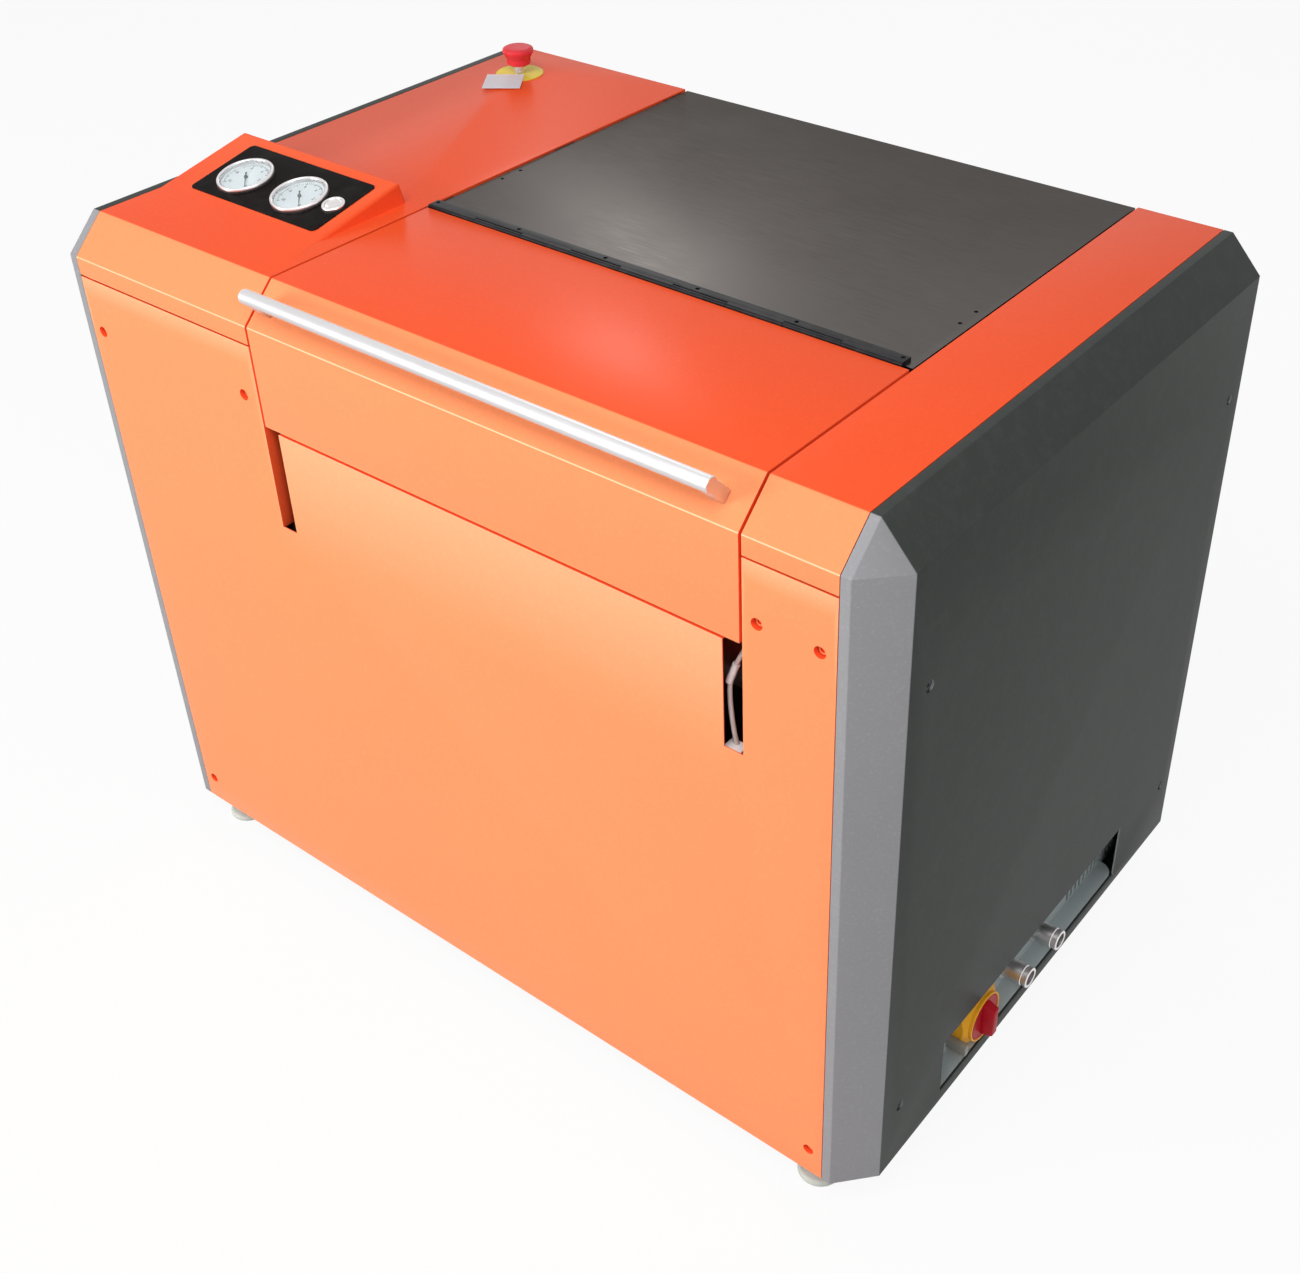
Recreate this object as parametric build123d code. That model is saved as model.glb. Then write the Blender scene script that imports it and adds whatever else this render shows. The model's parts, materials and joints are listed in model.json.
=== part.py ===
from build123d import *
import os
from math import atan2, cos, pi, radians, sin, tan

# Flexographic platesetter in millimetres: X to the right seen from the front, Y to the back, Z up.
# Pieces are drawn with z = 0 at the lower edge of the casing and y = 0 on its front face.

# Casing
body_width = 960.0
body_depth = 680.0
body_height = 787.0
chamfer_depth = 39.0
chamfer_drop = 37.0
lip_drop = 20.0
sheet = 1.5
bend_radius = 3.0
flange = 18.0
seam = 3.0
lip_seam = 2.0
panel_seam = 0.5
left_cover_width = 269.0
right_cover_width = 96.0

# Side panels
panel_wall = 2.0
rim_width = 10.0
bevel_reach = 35.0
bevel_inset = 38.0

# Hood and its opening
hood_drop = 147.0
hood_return = 15.0
slot_width = 21.0
slot_length = 121.0
front_return = 15.0
bumper_radius = 4.0
bumper_inset = 9.0
bumper_clear = 0.3
bumper_count = 3
bumper_end_inset = 62.0

# Hinge along the rear edge of the hood
strip_front = 247.5
strip_width = 15.5
strip_rise = 3.0
strip_end_gap = 10.0
knuckle_radius = 2.5
knuckle_clear = 0.4
hinge_pin_radius = 1.2
leaf_thickness = 1.5
leaf_width = 22.0
leaf_margin = 4.0
knuckle_count = 9
hood_rear_gap = 0.7

# Handle of the hood
handle_radius = 7.5
handle_standoff = 30.0
handle_up = 23.6
handle_start = 11.0
handle_length = 560.0
post_width = 15.0
post_length = 14.0

# Steel table
table_drop = 1.5
table_flange = 13.0
table_hole_radius = 2.1
table_hole_left_inset = 9.0
table_hole_right_inset = 13.0
table_hole_setback = 117.5
table_hole_pitch = 28.5

# Gauge console
console_front = 116.0
console_length = 120.0
console_lean = 6.0
console_gap = 25.0
console_tilt = radians(11.3)
fascia_left_margin = 32.0
fascia_right_margin = 17.0
fascia_start = 14.5
fascia_height = 91.5
fascia_corner = 6.0
fascia_thickness = 1.0

# Gauges
gauge_first = 47.6
gauge_pitch = 85.1
gauge_over_edge = 39.5
gauge_radius = 31.5
gauge_bore = 27.5
gauge_case_radius = 29.5
gauge_rise = 6.0
gauge_depth = 28.0
dial_level = 0.5
dial_thickness = 0.8
lens_thickness = 1.2
lens_recess = 1.0
needle_length = 21.0
needle_tail = 8.0
needle_width = 1.8
needle_thickness = 0.6
needle_lift = 1.2
needle_hub_radius = 2.6
needle_hub_height = 2.0
spindle_radius = 0.8
spindle_seat = 3.0
needle_rest = -135.0

# Push button on the console
button_inset = 15.0
button_over_edge = 43.5
button_radius = 12.5
button_case_radius = 10.8
button_cap_radius = 9.2
button_rise = 4.0
button_cap_rise = 3.2
button_cap_length = 6.5
button_depth = 22.0
button_travel = 2.0
button_dish = 1.2

# Emergency stop
stop_side_inset = 67.0
stop_back_inset = 76.5
stop_label_radius = 29.0
stop_label_thickness = 1.5
stop_neck_radius = 7.0
stop_neck_height = 13.0
stop_body_radius = 15.0
stop_body_depth = 55.0
stop_travel = 4.0
stop_cap_radius = 19.0
stop_skirt_radius = 14.0
stop_cap_bottom = 12.0
stop_skirt_top = 20.0
stop_rim_bottom = 26.0
stop_rim_top = 29.0
stop_cap_height = 34.0
stop_shaft_radius = 3.5
stop_shaft_length = 30.0

# Card lying on the label of the emergency stop
card_width = 46.0
card_length = 48.0
card_thickness = 0.8
card_aside = 7.0
card_before = 36.5
card_turn = 36.0

# Running and seating clearances, and how far a cut runs past a face
fit = 0.05
screw_clear = 0.1
overcut = 3.0

# Frame of square tube
tube_size = 30.0
tube_wall = 2.5
frame_inset = 10.0
frame_front = 20.0
upright_setback = 50.0
upright_rear_inset = 25.0
tray_thickness = 2.0
front_beam_setback = 23.5

# Feet
foot_height = 42.0
pad_radius = 24.0
pad_height = 14.0
stem_radius = 6.0
stem_rise = 20.0
stem_socket = 6.0
foot_nut_radius = 11.0
foot_nut_height = 8.0

# Panel screws
front_screw_inset = 17.0
front_screw_low = 34.5
front_screw_drop = 60.0
front_hole_radius = 6.0
side_screw_low = 79.0
side_screw_drop = 169.0
side_hole_radius = 6.0
back_screw_low = 120.0
back_screw_drop = 87.0
standoff_radius = 8.0
screw_head_radius = 5.0
screw_head_height = 3.0
screw_shank_radius = 2.0
screw_length = 9.0
screw_recess = 6.0
side_head_height = 1.6
strip_screw_count = 6
strip_screw_radius = 2.2
strip_head_height = 1.2
strip_shank_radius = 1.4
strip_screw_depth = 12.0
strip_screw_inset = 5.0

# Back panel
back_flange = 8.0
vent_length = 100.0
vent_height = 4.0
vent_pitch = 12.0
vent_rows = 12
vent_drop = 367.0
vent_side_inset = 220.0

# Cheek plates that carry the drum
cheek_thickness = 20.0
cheek_gap_left = 14.0
cheek_gap_right = 6.5
cheek_behind_bed = 10.0
cheek_step = 26.0
cheek_low_drop = 47.0

# Imaging drum
drum_y = 150.0
drum_drop = 197.0
drum_radius = 105.0
drum_wall = 8.0
drum_disc = 10.0
drum_end_gap = 22.0
groove_count = 12
groove_width = 2.0
groove_depth = 1.0
clamp_width = 24.0
clamp_height = 6.0
clamp_end_inset = 12.0
shaft_radius = 20.0
shaft_end_radius = 15.0
shaft_step = 3.0
bearing_radius = 36.0

# Belt drive
pulley_radius = 60.0
motor_pulley_radius = 25.0
pulley_flange = 6.0
pulley_flange_width = 3.0
belt_groove = 22.0
belt_width = 20.0
belt_thickness = 3.0
belt_clear = 0.3
pulley_offset = 27.0
motor_drop = 260.0
motor_size = 90.0
motor_length = 127.0
motor_shaft_radius = 9.5
motor_shaft_grip = 22.0
motor_hole_room = 3.0
motor_plate = 8.0
motor_plate_gap = 5.0
motor_plate_margin = 10.0
motor_post_radius = 7.0
motor_post_offset = 48.0

# Rotary union
union_radius = 24.0
union_flange_radius = 48.0
union_flange_width = 6.0
union_gap = 17.5
union_length = 34.0
union_post_radius = 4.0
union_post_ring = 43.0
union_shaft_radius = 12.0
union_seat = 22.0
union_stub_radius = 8.0
union_stub_length = 18.0

# Linear axis behind the drum
bed_gap = 75.0
bed_depth = 80.0
bed_drop = 120.0
bed_height = 60.0
rail_width = 12.0
rail_height = 12.0
rail_inset = 15.0
rail_end_gap = 10.0
runner_width = 26.0
runner_length = 35.0
runner_lift = 1.0
runner_height = 23.0
rail_clear = 0.3
carriage_length = 110.0
carriage_plate = 12.0
carriage_end_gap = 25.0
nut_width = 20.0
nut_length = 40.0
nut_drop = 20.0
screw_radius = 8.0
screw_rise = 15.0
bush_radius = 14.0
bush_flange_radius = 18.0
bush_flange_width = 4.0
coupling_radius = 15.0
coupling_length = 30.0
coupling_gap = 25.0
screw_motor_size = 57.0
screw_motor_length = 56.0
screw_motor_gap = 71.0
screw_motor_shaft = 5.0
screw_motor_grip = 24.0
screw_post_radius = 4.0
screw_post_offset = 22.0

# Laser head
head_width = 90.0
head_reach_front = 30.0
head_reach_back = 10.0
head_height = 84.0
barrel_radius = 20.0
barrel_gap = 12.0
lens_bore = 12.0
lens_depth = 6.0

# Service recess low in the right side panel
recess_front = 153.0
recess_back_gap = 135.0
recess_bottom = 16.0
recess_height = 75.0
recess_depth = 23.0
plate_over_front = 18.0
plate_over_back = 55.0
plate_under = 8.0
plate_over_top = 9.0
floor_over_front = 13.0
floor_over_back = 11.0
floor_corner = 18.0
floor_gap = 1.0
bracket_inset = 12.0
bracket_width = 18.0
louvre_lead = 75.0
louvre_count = 12
louvre_pitch = 10.0
louvre_width = 5.0
louvre_drop = 9.0
louvre_rise = 2.0

# Main switch
switch_setback = 88.0
switch_rise = 33.0
switch_width = 68.0
switch_height = 62.0
switch_depth = 19.0
switch_foot = 6.0
switch_taper_radius = 46.0
switch_rim_radius = 29.5
switch_corner = 5.0
knob_radius = 26.5
knob_thickness = 4.0
knob_gap = 0.3
knob_axle_radius = 4.0
knob_axle_length = 13.0
grip_length = 44.0
grip_width = 14.0
grip_depth = 12.5
padlock_tab_width = 7.0
padlock_tab_height = 14.0
padlock_tab_depth = 24.0
padlock_tab_rise = 6.0

# Hose ports
port_setback = 166.0
port_pitch = 68.0
port_rise = 31.0
port_radius = 12.0
port_length = 35.0
port_bore = 9.0
port_bore_depth = 30.0
port_flange_radius = 16.0
port_flange_length = 5.0
tail_radius = 9.0
tail_length = 10.0
elbow_radius = 12.5
elbow_reach = 45.0
elbow_drop_in = 31.0
elbow_rise = 23.0
elbow_stub_radius = 9.0

# Valve block and air hoses
valve_length = 40.0
valve_inset = 75.0
valve_bottom = 330.0
valve_height = 50.0
valve_width = 29.0
coil_radius = 9.0
coil_height = 26.0
coil_spacing = 20.0
vacuum_hose_radius = 8.0
air_hose_radius = 5.0

# Bends of these hoses: across, along and up or down from the end that each is near
vacuum_start = 78.0
vacuum_upper_bend = (4.0, 35.0, 188.0)
vacuum_lower_bend = (5.0, 34.0, 160.0)
vacuum_end = 80.0
air_start = 60.0
air_lower_bend = (13.0, 14.0, 125.0)
air_upper_bend = (6.0, 6.0, 80.0)
air_end = 45.0

# Hose seen through the right front slot
slot_hose_radius = 2.3
sleeve_radius = 3.4
sleeve_length = 22.0
sleeve_height = 74.0
fitting_size = 14.0
fitting_grip = 4.0
low_fitting_width = 18.0
low_fitting_depth = 16.5
low_fitting_height = 22.0

# Bends of this hose: across from the arm's edge, behind the front and above the slot's end
slot_hose_bends = (
    (3.5, 29.0, 136.0),
    (4.5, 28.0, 115.0),
    (14.0, 15.0, 93.0),
    (23.0, 12.0, 65.0),
    (22.5, 12.0, 37.0),
    (19.0, 12.0, 11.0),
    (15.0, 12.0, -7.0),
)

# Electronics on the tray: width, depth and height of each box, and the gaps round them
supply_box = (130.0, 180.0, 88.0)
control_box = (130.0, 170.0, 168.0)
laser_box = (380.0, 180.0, 118.0)
box_side_gap = 10.0
box_back_gap = 40.0
box_between = 20.0
laser_back_gap = 20.0
laser_cheek_gap = 45.0

# Levels and edges that follow from the sizes above
half = body_width / 2
side_outer = half + rim_width + bevel_reach
top = body_height
chamfer_tilt = atan2(chamfer_drop, chamfer_depth)
cover_left = -half + panel_seam
cover_right = half - panel_seam
hood_left = -half + left_cover_width
hood_right = half - right_cover_width
hood_bottom = top - hood_drop
slot_bottom = hood_bottom - slot_length
hood_x0 = hood_left + seam / 2
hood_x1 = hood_right - seam / 2
arm_left = hood_left - seam / 2
arm_right = hood_right + seam / 2
lip_bottom = top - chamfer_drop - lip_drop
arm_top = lip_bottom - lip_seam
table_top = top - table_drop
beam_top = table_top - sheet
rail_top = top - sheet
tray_top = tube_size + tray_thickness
frame_half = half - frame_inset
upright_front = frame_front + upright_setback
upright_rear = body_depth - upright_rear_inset
front_beam_y = strip_front + front_beam_setback
middle_beam_y = (front_beam_y + upright_rear) / 2
cheek_left = hood_left - cheek_gap_left
cheek_right = hood_right + cheek_gap_right
cheek_left_out = cheek_left - cheek_thickness
cheek_right_out = cheek_right + cheek_thickness
hinge_y = strip_front + knuckle_radius
hinge_z = top + strip_rise - knuckle_radius
strip_back = strip_front + strip_width
strip_body_front = hinge_y + knuckle_radius + knuckle_clear
strip_x1 = hood_right - strip_end_gap
console_back = console_front + console_length
console_right = hood_left - console_gap
fascia_left = -half + fascia_left_margin
fascia_right = console_right - fascia_right_margin
gauge_places = (fascia_left + gauge_first, fascia_left + gauge_first + gauge_pitch)
gauge_up = fascia_start + gauge_over_edge
button_x = fascia_right - button_inset
button_up = fascia_start + button_over_edge
stop_x = -half + stop_side_inset
stop_y = body_depth - stop_back_inset
front_screw_outer = half - front_screw_inset
front_screw_high = arm_top - front_screw_drop
side_screw_high = top - side_screw_drop
back_screw_high = top - back_screw_drop
front_screw_inner_left = cheek_left - cheek_thickness / 2
front_screw_inner_right = cheek_right + cheek_thickness / 2
handle_left = hood_left + handle_start
handle_right = handle_left + handle_length
handle_y = handle_up * cos(chamfer_tilt) - handle_standoff * sin(chamfer_tilt)
handle_z = top - chamfer_drop + handle_up * sin(chamfer_tilt) + handle_standoff * cos(chamfer_tilt)
recess_back = body_depth - recess_back_gap
recess_top = recess_bottom + recess_height
plate_front = recess_front - plate_over_front
plate_back = recess_back + plate_over_back
plate_bottom = recess_bottom - plate_under
plate_top = recess_top + plate_over_top
switch_y = recess_front + switch_setback
switch_z = recess_bottom + switch_rise
port_places = (recess_front + port_setback, recess_front + port_setback + port_pitch)
port_z = recess_bottom + port_rise
service_face = side_outer - recess_depth
service_back = service_face - panel_wall
knob_face = service_face + switch_depth + knob_gap
drum_z = top - drum_drop
drum_x0 = cheek_left + drum_end_gap
drum_x1 = cheek_right - drum_end_gap
pulley_x1 = cheek_left_out - pulley_offset
pulley_x0 = pulley_x1 - belt_groove - 2 * pulley_flange_width
motor_z = drum_z - motor_drop
motor_plate_x1 = pulley_x0 - motor_plate_gap
motor_face = motor_plate_x1 - motor_plate
bed_front = drum_y + drum_radius + bed_gap
bed_back = bed_front + bed_depth
bed_bottom = drum_z - bed_drop
bed_top = bed_bottom + bed_height
rail_places = (bed_front + rail_inset, bed_back - rail_inset)
screw_y = (bed_front + bed_back) / 2
screw_z = bed_top + screw_rise
cheek_back = bed_back + cheek_behind_bed
cheek_step_y = front_beam_y - cheek_step
cheek_low_top = top - cheek_low_drop
valve_y = cheek_back - valve_inset
carriage_z = bed_top + runner_lift + runner_height
carriage_x0 = cheek_left + carriage_end_gap
carriage_x1 = carriage_x0 + carriage_length
carriage_x = (carriage_x0 + carriage_x1) / 2
head_bottom = carriage_z + carriage_plate
union_x0 = cheek_right_out + union_gap
switch_reach = knob_face + knob_thickness + grip_depth
# The finished part stands on z = 0 with the middle of its outer box over the origin
shift_x = -(switch_reach - side_outer) / 2
shift_y = -(body_depth + side_head_height + handle_y - handle_radius) / 2


def block(x0, x1, y0, y1, z0, z1):
    """Box between two corners."""
    centre = Pos((x0 + x1) / 2, (y0 + y1) / 2, (z0 + z1) / 2)
    return centre * Box(x1 - x0, y1 - y0, z1 - z0)


def rod_x(x0, x1, y, z, radius):
    """Round bar along X."""
    return Pos((x0 + x1) / 2, y, z) * Rot(0, 90, 0) * Cylinder(radius, x1 - x0)


def rod_y(x, y0, y1, z, radius):
    """Round bar along Y."""
    return Pos(x, (y0 + y1) / 2, z) * Rot(90, 0, 0) * Cylinder(radius, y1 - y0)


def rod_z(x, y, z0, z1, radius):
    """Round bar along Z."""
    return Pos(x, y, (z0 + z1) / 2) * Cylinder(radius, z1 - z0)


def prism(points, x0, x1):
    """Outline in the Y-Z plane drawn out along X."""
    face = make_face(Polyline(*points, close=True))
    return extrude(Plane.YZ.offset(x0) * face, amount=x1 - x0)


def shell_line(bottom, rear, inset):
    """Front, chamfer and top of the covers as points, moved inwards by inset."""
    low_shift = inset * tan((pi / 2 - chamfer_tilt) / 2)
    high_shift = inset * tan(chamfer_tilt / 2)
    return [
        (inset, bottom),
        (inset, top - chamfer_drop - low_shift),
        (chamfer_depth + high_shift, top - inset),
        (rear, top - inset),
    ]


def cover_band(x0, x1, bottom, rear, depth):
    """Band that follows the cover's outline, rounded outside at the bends, depth thick."""
    outer = FilletPolyline(*shell_line(bottom, rear, 0), radius=bend_radius)
    inner = FilletPolyline(*shell_line(bottom, rear, depth), radius=bend_radius - sheet)
    low = Line((0, bottom), (depth, bottom))
    back = Line((rear, top), (rear, top - depth))
    face = make_face(outer.edges() + inner.edges() + [low, back])
    return extrude(Plane.YZ.offset(x0) * face, amount=x1 - x0)


def on_console(x, up, out):
    """Place on the sloping face of the console: across, up the slope and out of it."""
    slope = Plane(
        origin=(0, console_front, top),
        x_dir=(1, 0, 0),
        z_dir=(0, -sin(console_tilt), cos(console_tilt)),
    )
    return slope * Pos(x, up, out)


def console_rod(x, up, low, high, radius):
    """Round bar square to the console's face, from low to high above it."""
    return on_console(x, up, (low + high) / 2) * Cylinder(radius, high - low)


def console_wedge(inset, floor):
    """Wedge of the console above floor, its walls moved inwards by inset."""
    slope = tan(console_tilt)
    fall = inset / cos(console_tilt)
    front = console_front + (floor - top + fall) / slope if inset else console_front
    back = console_back - inset
    ridge = top + (back - console_front) * slope - fall
    points = [(front, floor), (console_back + console_lean - inset, floor), (back, ridge)]
    if not inset:
        points.append((console_front, top))
    wedge = prism(points, cover_left + inset, console_right - inset)
    upper = wedge.edges().filter_by(lambda edge: edge.center().Z > top + overcut)
    ridges = upper.filter_by(lambda edge: edge.center().X > cover_left + overcut)
    return fillet(ridges, bend_radius - inset)


def beam_notches():
    """Room for the cross beams in the inner flanges of the covers."""
    notches = []
    for y in (front_beam_y, middle_beam_y, upright_rear):
        reach = tube_size / 2 + lip_seam
        sides = (arm_left - overcut, arm_right + overcut)
        notches.append(block(*sides, y - reach, y + reach, 0, beam_top + panel_seam))
    return notches


def left_top_cover():
    """Bent cover left of the hood with the raised gauge console."""
    shell = cover_band(cover_left, arm_left, lip_bottom, body_depth, sheet)
    shell += cover_band(arm_left - sheet, arm_left, lip_bottom, body_depth, flange)
    shell += block(cover_left, arm_left, body_depth - sheet, body_depth, top - flange, top - sheet / 2)
    shell += console_wedge(0, top - sheet)
    shell -= console_wedge(sheet, top - sheet - fit)
    for x in gauge_places:
        shell -= console_rod(x, gauge_up, -gauge_depth, gauge_rise, gauge_case_radius + screw_clear)
    shell -= console_rod(button_x, button_up, -button_depth, button_rise, button_case_radius + screw_clear)
    shell -= rod_z(stop_x, stop_y, top - flange, top + flange, stop_neck_radius + screw_clear)
    return shell - beam_notches()


def right_top_cover():
    """Bent cover right of the hood."""
    shell = cover_band(arm_right, cover_right, lip_bottom, body_depth, sheet)
    shell += cover_band(arm_right, arm_right + sheet, lip_bottom, body_depth, flange)
    shell += block(arm_right, cover_right, body_depth - sheet, body_depth, top - flange, top - sheet / 2)
    return shell - beam_notches()


def front_screw_places():
    """Screws of the front panel: across, height and the depth of what they go into."""
    low = [(x, front_screw_low, frame_front) for x in (-front_screw_outer, front_screw_outer)]
    outer_depth = upright_front - tube_size / 2
    high = [(x, front_screw_high, outer_depth) for x in (-front_screw_outer, front_screw_outer)]
    inner = (front_screw_inner_left, front_screw_inner_right)
    return low + high + [(x, front_screw_high, frame_front) for x in inner]


def front_panel():
    """Front panel with an arm on each side of the hood and a slot beside each arm."""
    centre_top = hood_bottom - seam
    panel = block(cover_left, cover_right, 0, sheet, 0, centre_top)
    for x0, x1 in ((cover_left, arm_left), (arm_right, cover_right)):
        panel += block(x0, x1, 0, sheet, centre_top - sheet, arm_top)
        panel += block(x0, x1, 0, front_return, arm_top - sheet, arm_top)
    panel += block(cover_left, cover_left + sheet, 0, front_return, 0, arm_top)
    panel += block(cover_right - sheet, cover_right, 0, front_return, 0, arm_top)
    panel += block(cover_left, cover_right, 0, front_return, 0, sheet)
    panel += block(arm_left, arm_right, 0, front_return, centre_top - sheet, centre_top)
    for edge, side in ((arm_left, 1), (arm_right, -1)):
        ends = sorted((edge, edge + side * slot_width))
        panel -= block(ends[0], ends[1], -overcut, front_return + overcut, slot_bottom, centre_top + overcut)
        walls = sorted((edge, edge - side * sheet))
        panel += block(walls[0], walls[1], 0, front_return, slot_bottom - sheet, arm_top)
    for x, z, depth in front_screw_places():
        panel -= rod_y(x, -overcut, overcut, z, front_hole_radius)
    return panel


def side_blank(inset, inner):
    """Block of the right side panel with its bevels, moved inwards by inset, from X = inner."""
    low_shift = inset * tan((pi / 2 - chamfer_tilt) / 2)
    high_shift = inset * tan(chamfer_tilt / 2)
    outline = [
        (inset, inset),
        (inset, top - chamfer_drop - low_shift),
        (chamfer_depth + high_shift, top - inset),
        (body_depth - inset, top - inset),
        (body_depth - inset, inset),
    ]
    blank = prism(outline, inner, side_outer - inset)
    rim = half + rim_width
    crease_high = Vector(rim, chamfer_depth, top)
    crease_low = Vector(rim, 0, top - chamfer_drop)
    corner = Vector(side_outer, bevel_inset, top - bevel_inset)
    normals = [
        (Vector(rim, 0, 0), Vector(bevel_inset, -bevel_reach, 0)),
        (Vector(rim, 0, top), Vector(bevel_inset, 0, bevel_reach)),
        (corner, (crease_high - crease_low).cross(corner - crease_low)),
    ]
    for point, normal in normals:
        out = normal.normalized()
        out = out if out.X > 0 else out * -1
        cut = Plane(origin=point - out * inset, z_dir=out)
        blank = split(blank, bisect_by=cut, keep=Keep.BOTTOM)
    return blank


def side_shell():
    """Hollow side panel, open towards the machine, with its screw holes."""
    shell = side_blank(0, half) - side_blank(panel_wall, half - panel_wall)
    for y in (upright_front, upright_rear):
        for z in (side_screw_low, side_screw_high):
            shell -= rod_x(side_outer - 2 * panel_wall, side_outer + panel_wall, y, z, side_hole_radius)
    return shell


def left_side_panel():
    """Left side panel, the mirror of the right one without the recess."""
    return mirror(side_shell(), about=Plane.YZ)


def right_side_panel():
    """Right side panel with the opening of the service recess."""
    opening = block(
        side_outer - 2 * panel_wall,
        side_outer + panel_wall,
        recess_front,
        recess_back,
        recess_bottom,
        recess_top,
    )
    return side_shell() - opening


def back_panel():
    """Back sheet with two fields of ventilation slots."""
    z1 = top - flange - lip_seam
    y0 = body_depth - sheet
    panel = block(cover_left, cover_right, y0, body_depth, 0, z1)
    frame = block(cover_left, cover_right, body_depth - back_flange, body_depth, 0, z1)
    frame -= block(
        cover_left + sheet,
        cover_right - sheet,
        body_depth - back_flange - overcut,
        body_depth + overcut,
        sheet,
        z1 - sheet,
    )
    panel += frame
    slots = []
    for x in (-half + vent_side_inset, half - vent_side_inset):
        for row in range(vent_rows):
            z = top - vent_drop + row * vent_pitch
            ends = (x - vent_length / 2, x + vent_length / 2)
            slots.append(block(*ends, y0 - overcut, body_depth + overcut, z, z + vent_height))
    panel -= slots
    for x, z in back_screw_places():
        panel -= rod_y(x, y0 - overcut, body_depth + overcut, z, screw_shank_radius + screw_clear)
    return panel


def back_screw_places():
    """Screws of the back panel, into the rear uprights."""
    across = frame_half - tube_size / 2
    return [(x, z) for x in (-across, across) for z in (back_screw_low, back_screw_high)]


def steel_table():
    """Stainless table behind the hood with a bent rear edge and two pairs of holes."""
    y0 = strip_body_front
    table = block(hood_x0, hood_x1, y0, body_depth, table_top - sheet, table_top)
    table += block(hood_x0, hood_x1, body_depth - sheet, body_depth, table_top - table_flange, table_top)
    for x in (hood_left + table_hole_left_inset, hood_right - table_hole_right_inset):
        for side in (-1, 1):
            y = strip_front + table_hole_setback + side * table_hole_pitch / 2
            table -= rod_z(x, y, table_top - flange, table_top + flange, table_hole_radius)
    for x, y in strip_screw_places():
        table -= rod_z(x, y, table_top - flange, table_top + flange, strip_shank_radius + screw_clear)
    return table


def strip_screw_places():
    """Row of small screws that hold the hinge strip."""
    start = hood_x0 + strip_screw_inset
    pitch = (strip_x1 - hood_x0 - 2 * strip_screw_inset) / (strip_screw_count - 1)
    y = (strip_body_front + strip_back) / 2
    return [(start + index * pitch, y) for index in range(strip_screw_count)]


def knuckle_spans():
    """Start and end of each hinge knuckle along X, fixed and moving in turn."""
    pitch = (strip_x1 - hood_x0) / knuckle_count
    spans = []
    for index in range(knuckle_count):
        x0 = hood_x0 + index * pitch
        spans.append((x0 + knuckle_clear / 2, x0 + pitch - knuckle_clear / 2))
    return spans


def hinge_strip():
    """Black strip with the fixed knuckles of the hood hinge, and the pin through all of them."""
    strip = block(hood_x0, strip_x1, strip_body_front, strip_back, table_top, top + strip_rise)
    for x0, x1 in knuckle_spans()[0::2]:
        knuckle = rod_x(x0, x1, hinge_y, hinge_z, knuckle_radius)
        web_bottom = hinge_z - knuckle_radius
        knuckle += block(x0, x1, hinge_y, strip_body_front, max(web_bottom, table_top), top + strip_rise)
        strip += knuckle
    strip -= rod_x(hood_x0 - overcut, strip_x1 + overcut, hinge_y, hinge_z, hinge_pin_radius + fit)
    for x, y in strip_screw_places():
        head_bottom_z = top + strip_rise - strip_head_height
        strip -= rod_z(x, y, head_bottom_z, top + flange, strip_screw_radius + screw_clear)
        strip -= rod_z(x, y, table_top - overcut, top + flange, strip_shank_radius + screw_clear)
    first, last = knuckle_spans()[0], knuckle_spans()[-1]
    pin = rod_x(first[0], last[1], hinge_y, hinge_z, hinge_pin_radius)
    return Compound([strip, pin])


def hinge_leaf():
    """Moving leaf under the hood with its knuckles."""
    z1 = top - sheet
    z0 = z1 - leaf_thickness
    rear = strip_front - hood_rear_gap
    leaf = block(hood_x0 + sheet + leaf_margin, strip_x1 - leaf_margin, rear - leaf_width, rear, z0, z1)
    for x0, x1 in knuckle_spans()[1::2]:
        leaf += rod_x(x0, x1, hinge_y, hinge_z, knuckle_radius)
        leaf += block(x0, x1, rear - leaf_margin, hinge_y, z0, z1)
    leaf -= rod_x(hood_x0, strip_x1, hinge_y, hinge_z, hinge_pin_radius + fit)
    return leaf


def hood_cover():
    """Hood: bent front, chamfer and top with side flanges and a bottom return."""
    rear = strip_front - hood_rear_gap
    hood = cover_band(hood_x0, hood_x1, hood_bottom, rear, sheet)
    hood += cover_band(hood_x0, hood_x0 + sheet, hood_bottom, rear, flange)
    hood += cover_band(hood_x1 - sheet, hood_x1, hood_bottom, rear, flange)
    hood += block(hood_x0, hood_x1, 0, hood_return, hood_bottom, hood_bottom + sheet)
    return hood


def hood_handle():
    """Round bar on two posts that stand square on the chamfer of the hood."""
    bar = rod_x(handle_left, handle_right, handle_y, handle_z, handle_radius)
    along = Plane(
        origin=(0, handle_y, handle_z),
        x_dir=(1, 0, 0),
        z_dir=(0, sin(chamfer_tilt), -cos(chamfer_tilt)),
    )
    for x in (handle_left + post_length / 2, handle_right - post_length / 2):
        post = Box(post_length, post_width, handle_standoff, align=(Align.CENTER, Align.CENTER, Align.MIN))
        bar += along * Pos(x, 0, 0) * post
    return bar


def hood_bumpers():
    """Rubber stops between the front panel and the hood."""
    z0 = hood_bottom - seam
    z1 = hood_bottom - bumper_clear
    pitch = (hood_right - hood_left - 2 * bumper_end_inset) / (bumper_count - 1)
    places = [hood_left + bumper_end_inset + index * pitch for index in range(bumper_count)]
    return Compound([rod_z(x, bumper_inset, z0, z1, bumper_radius) for x in places])


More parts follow.
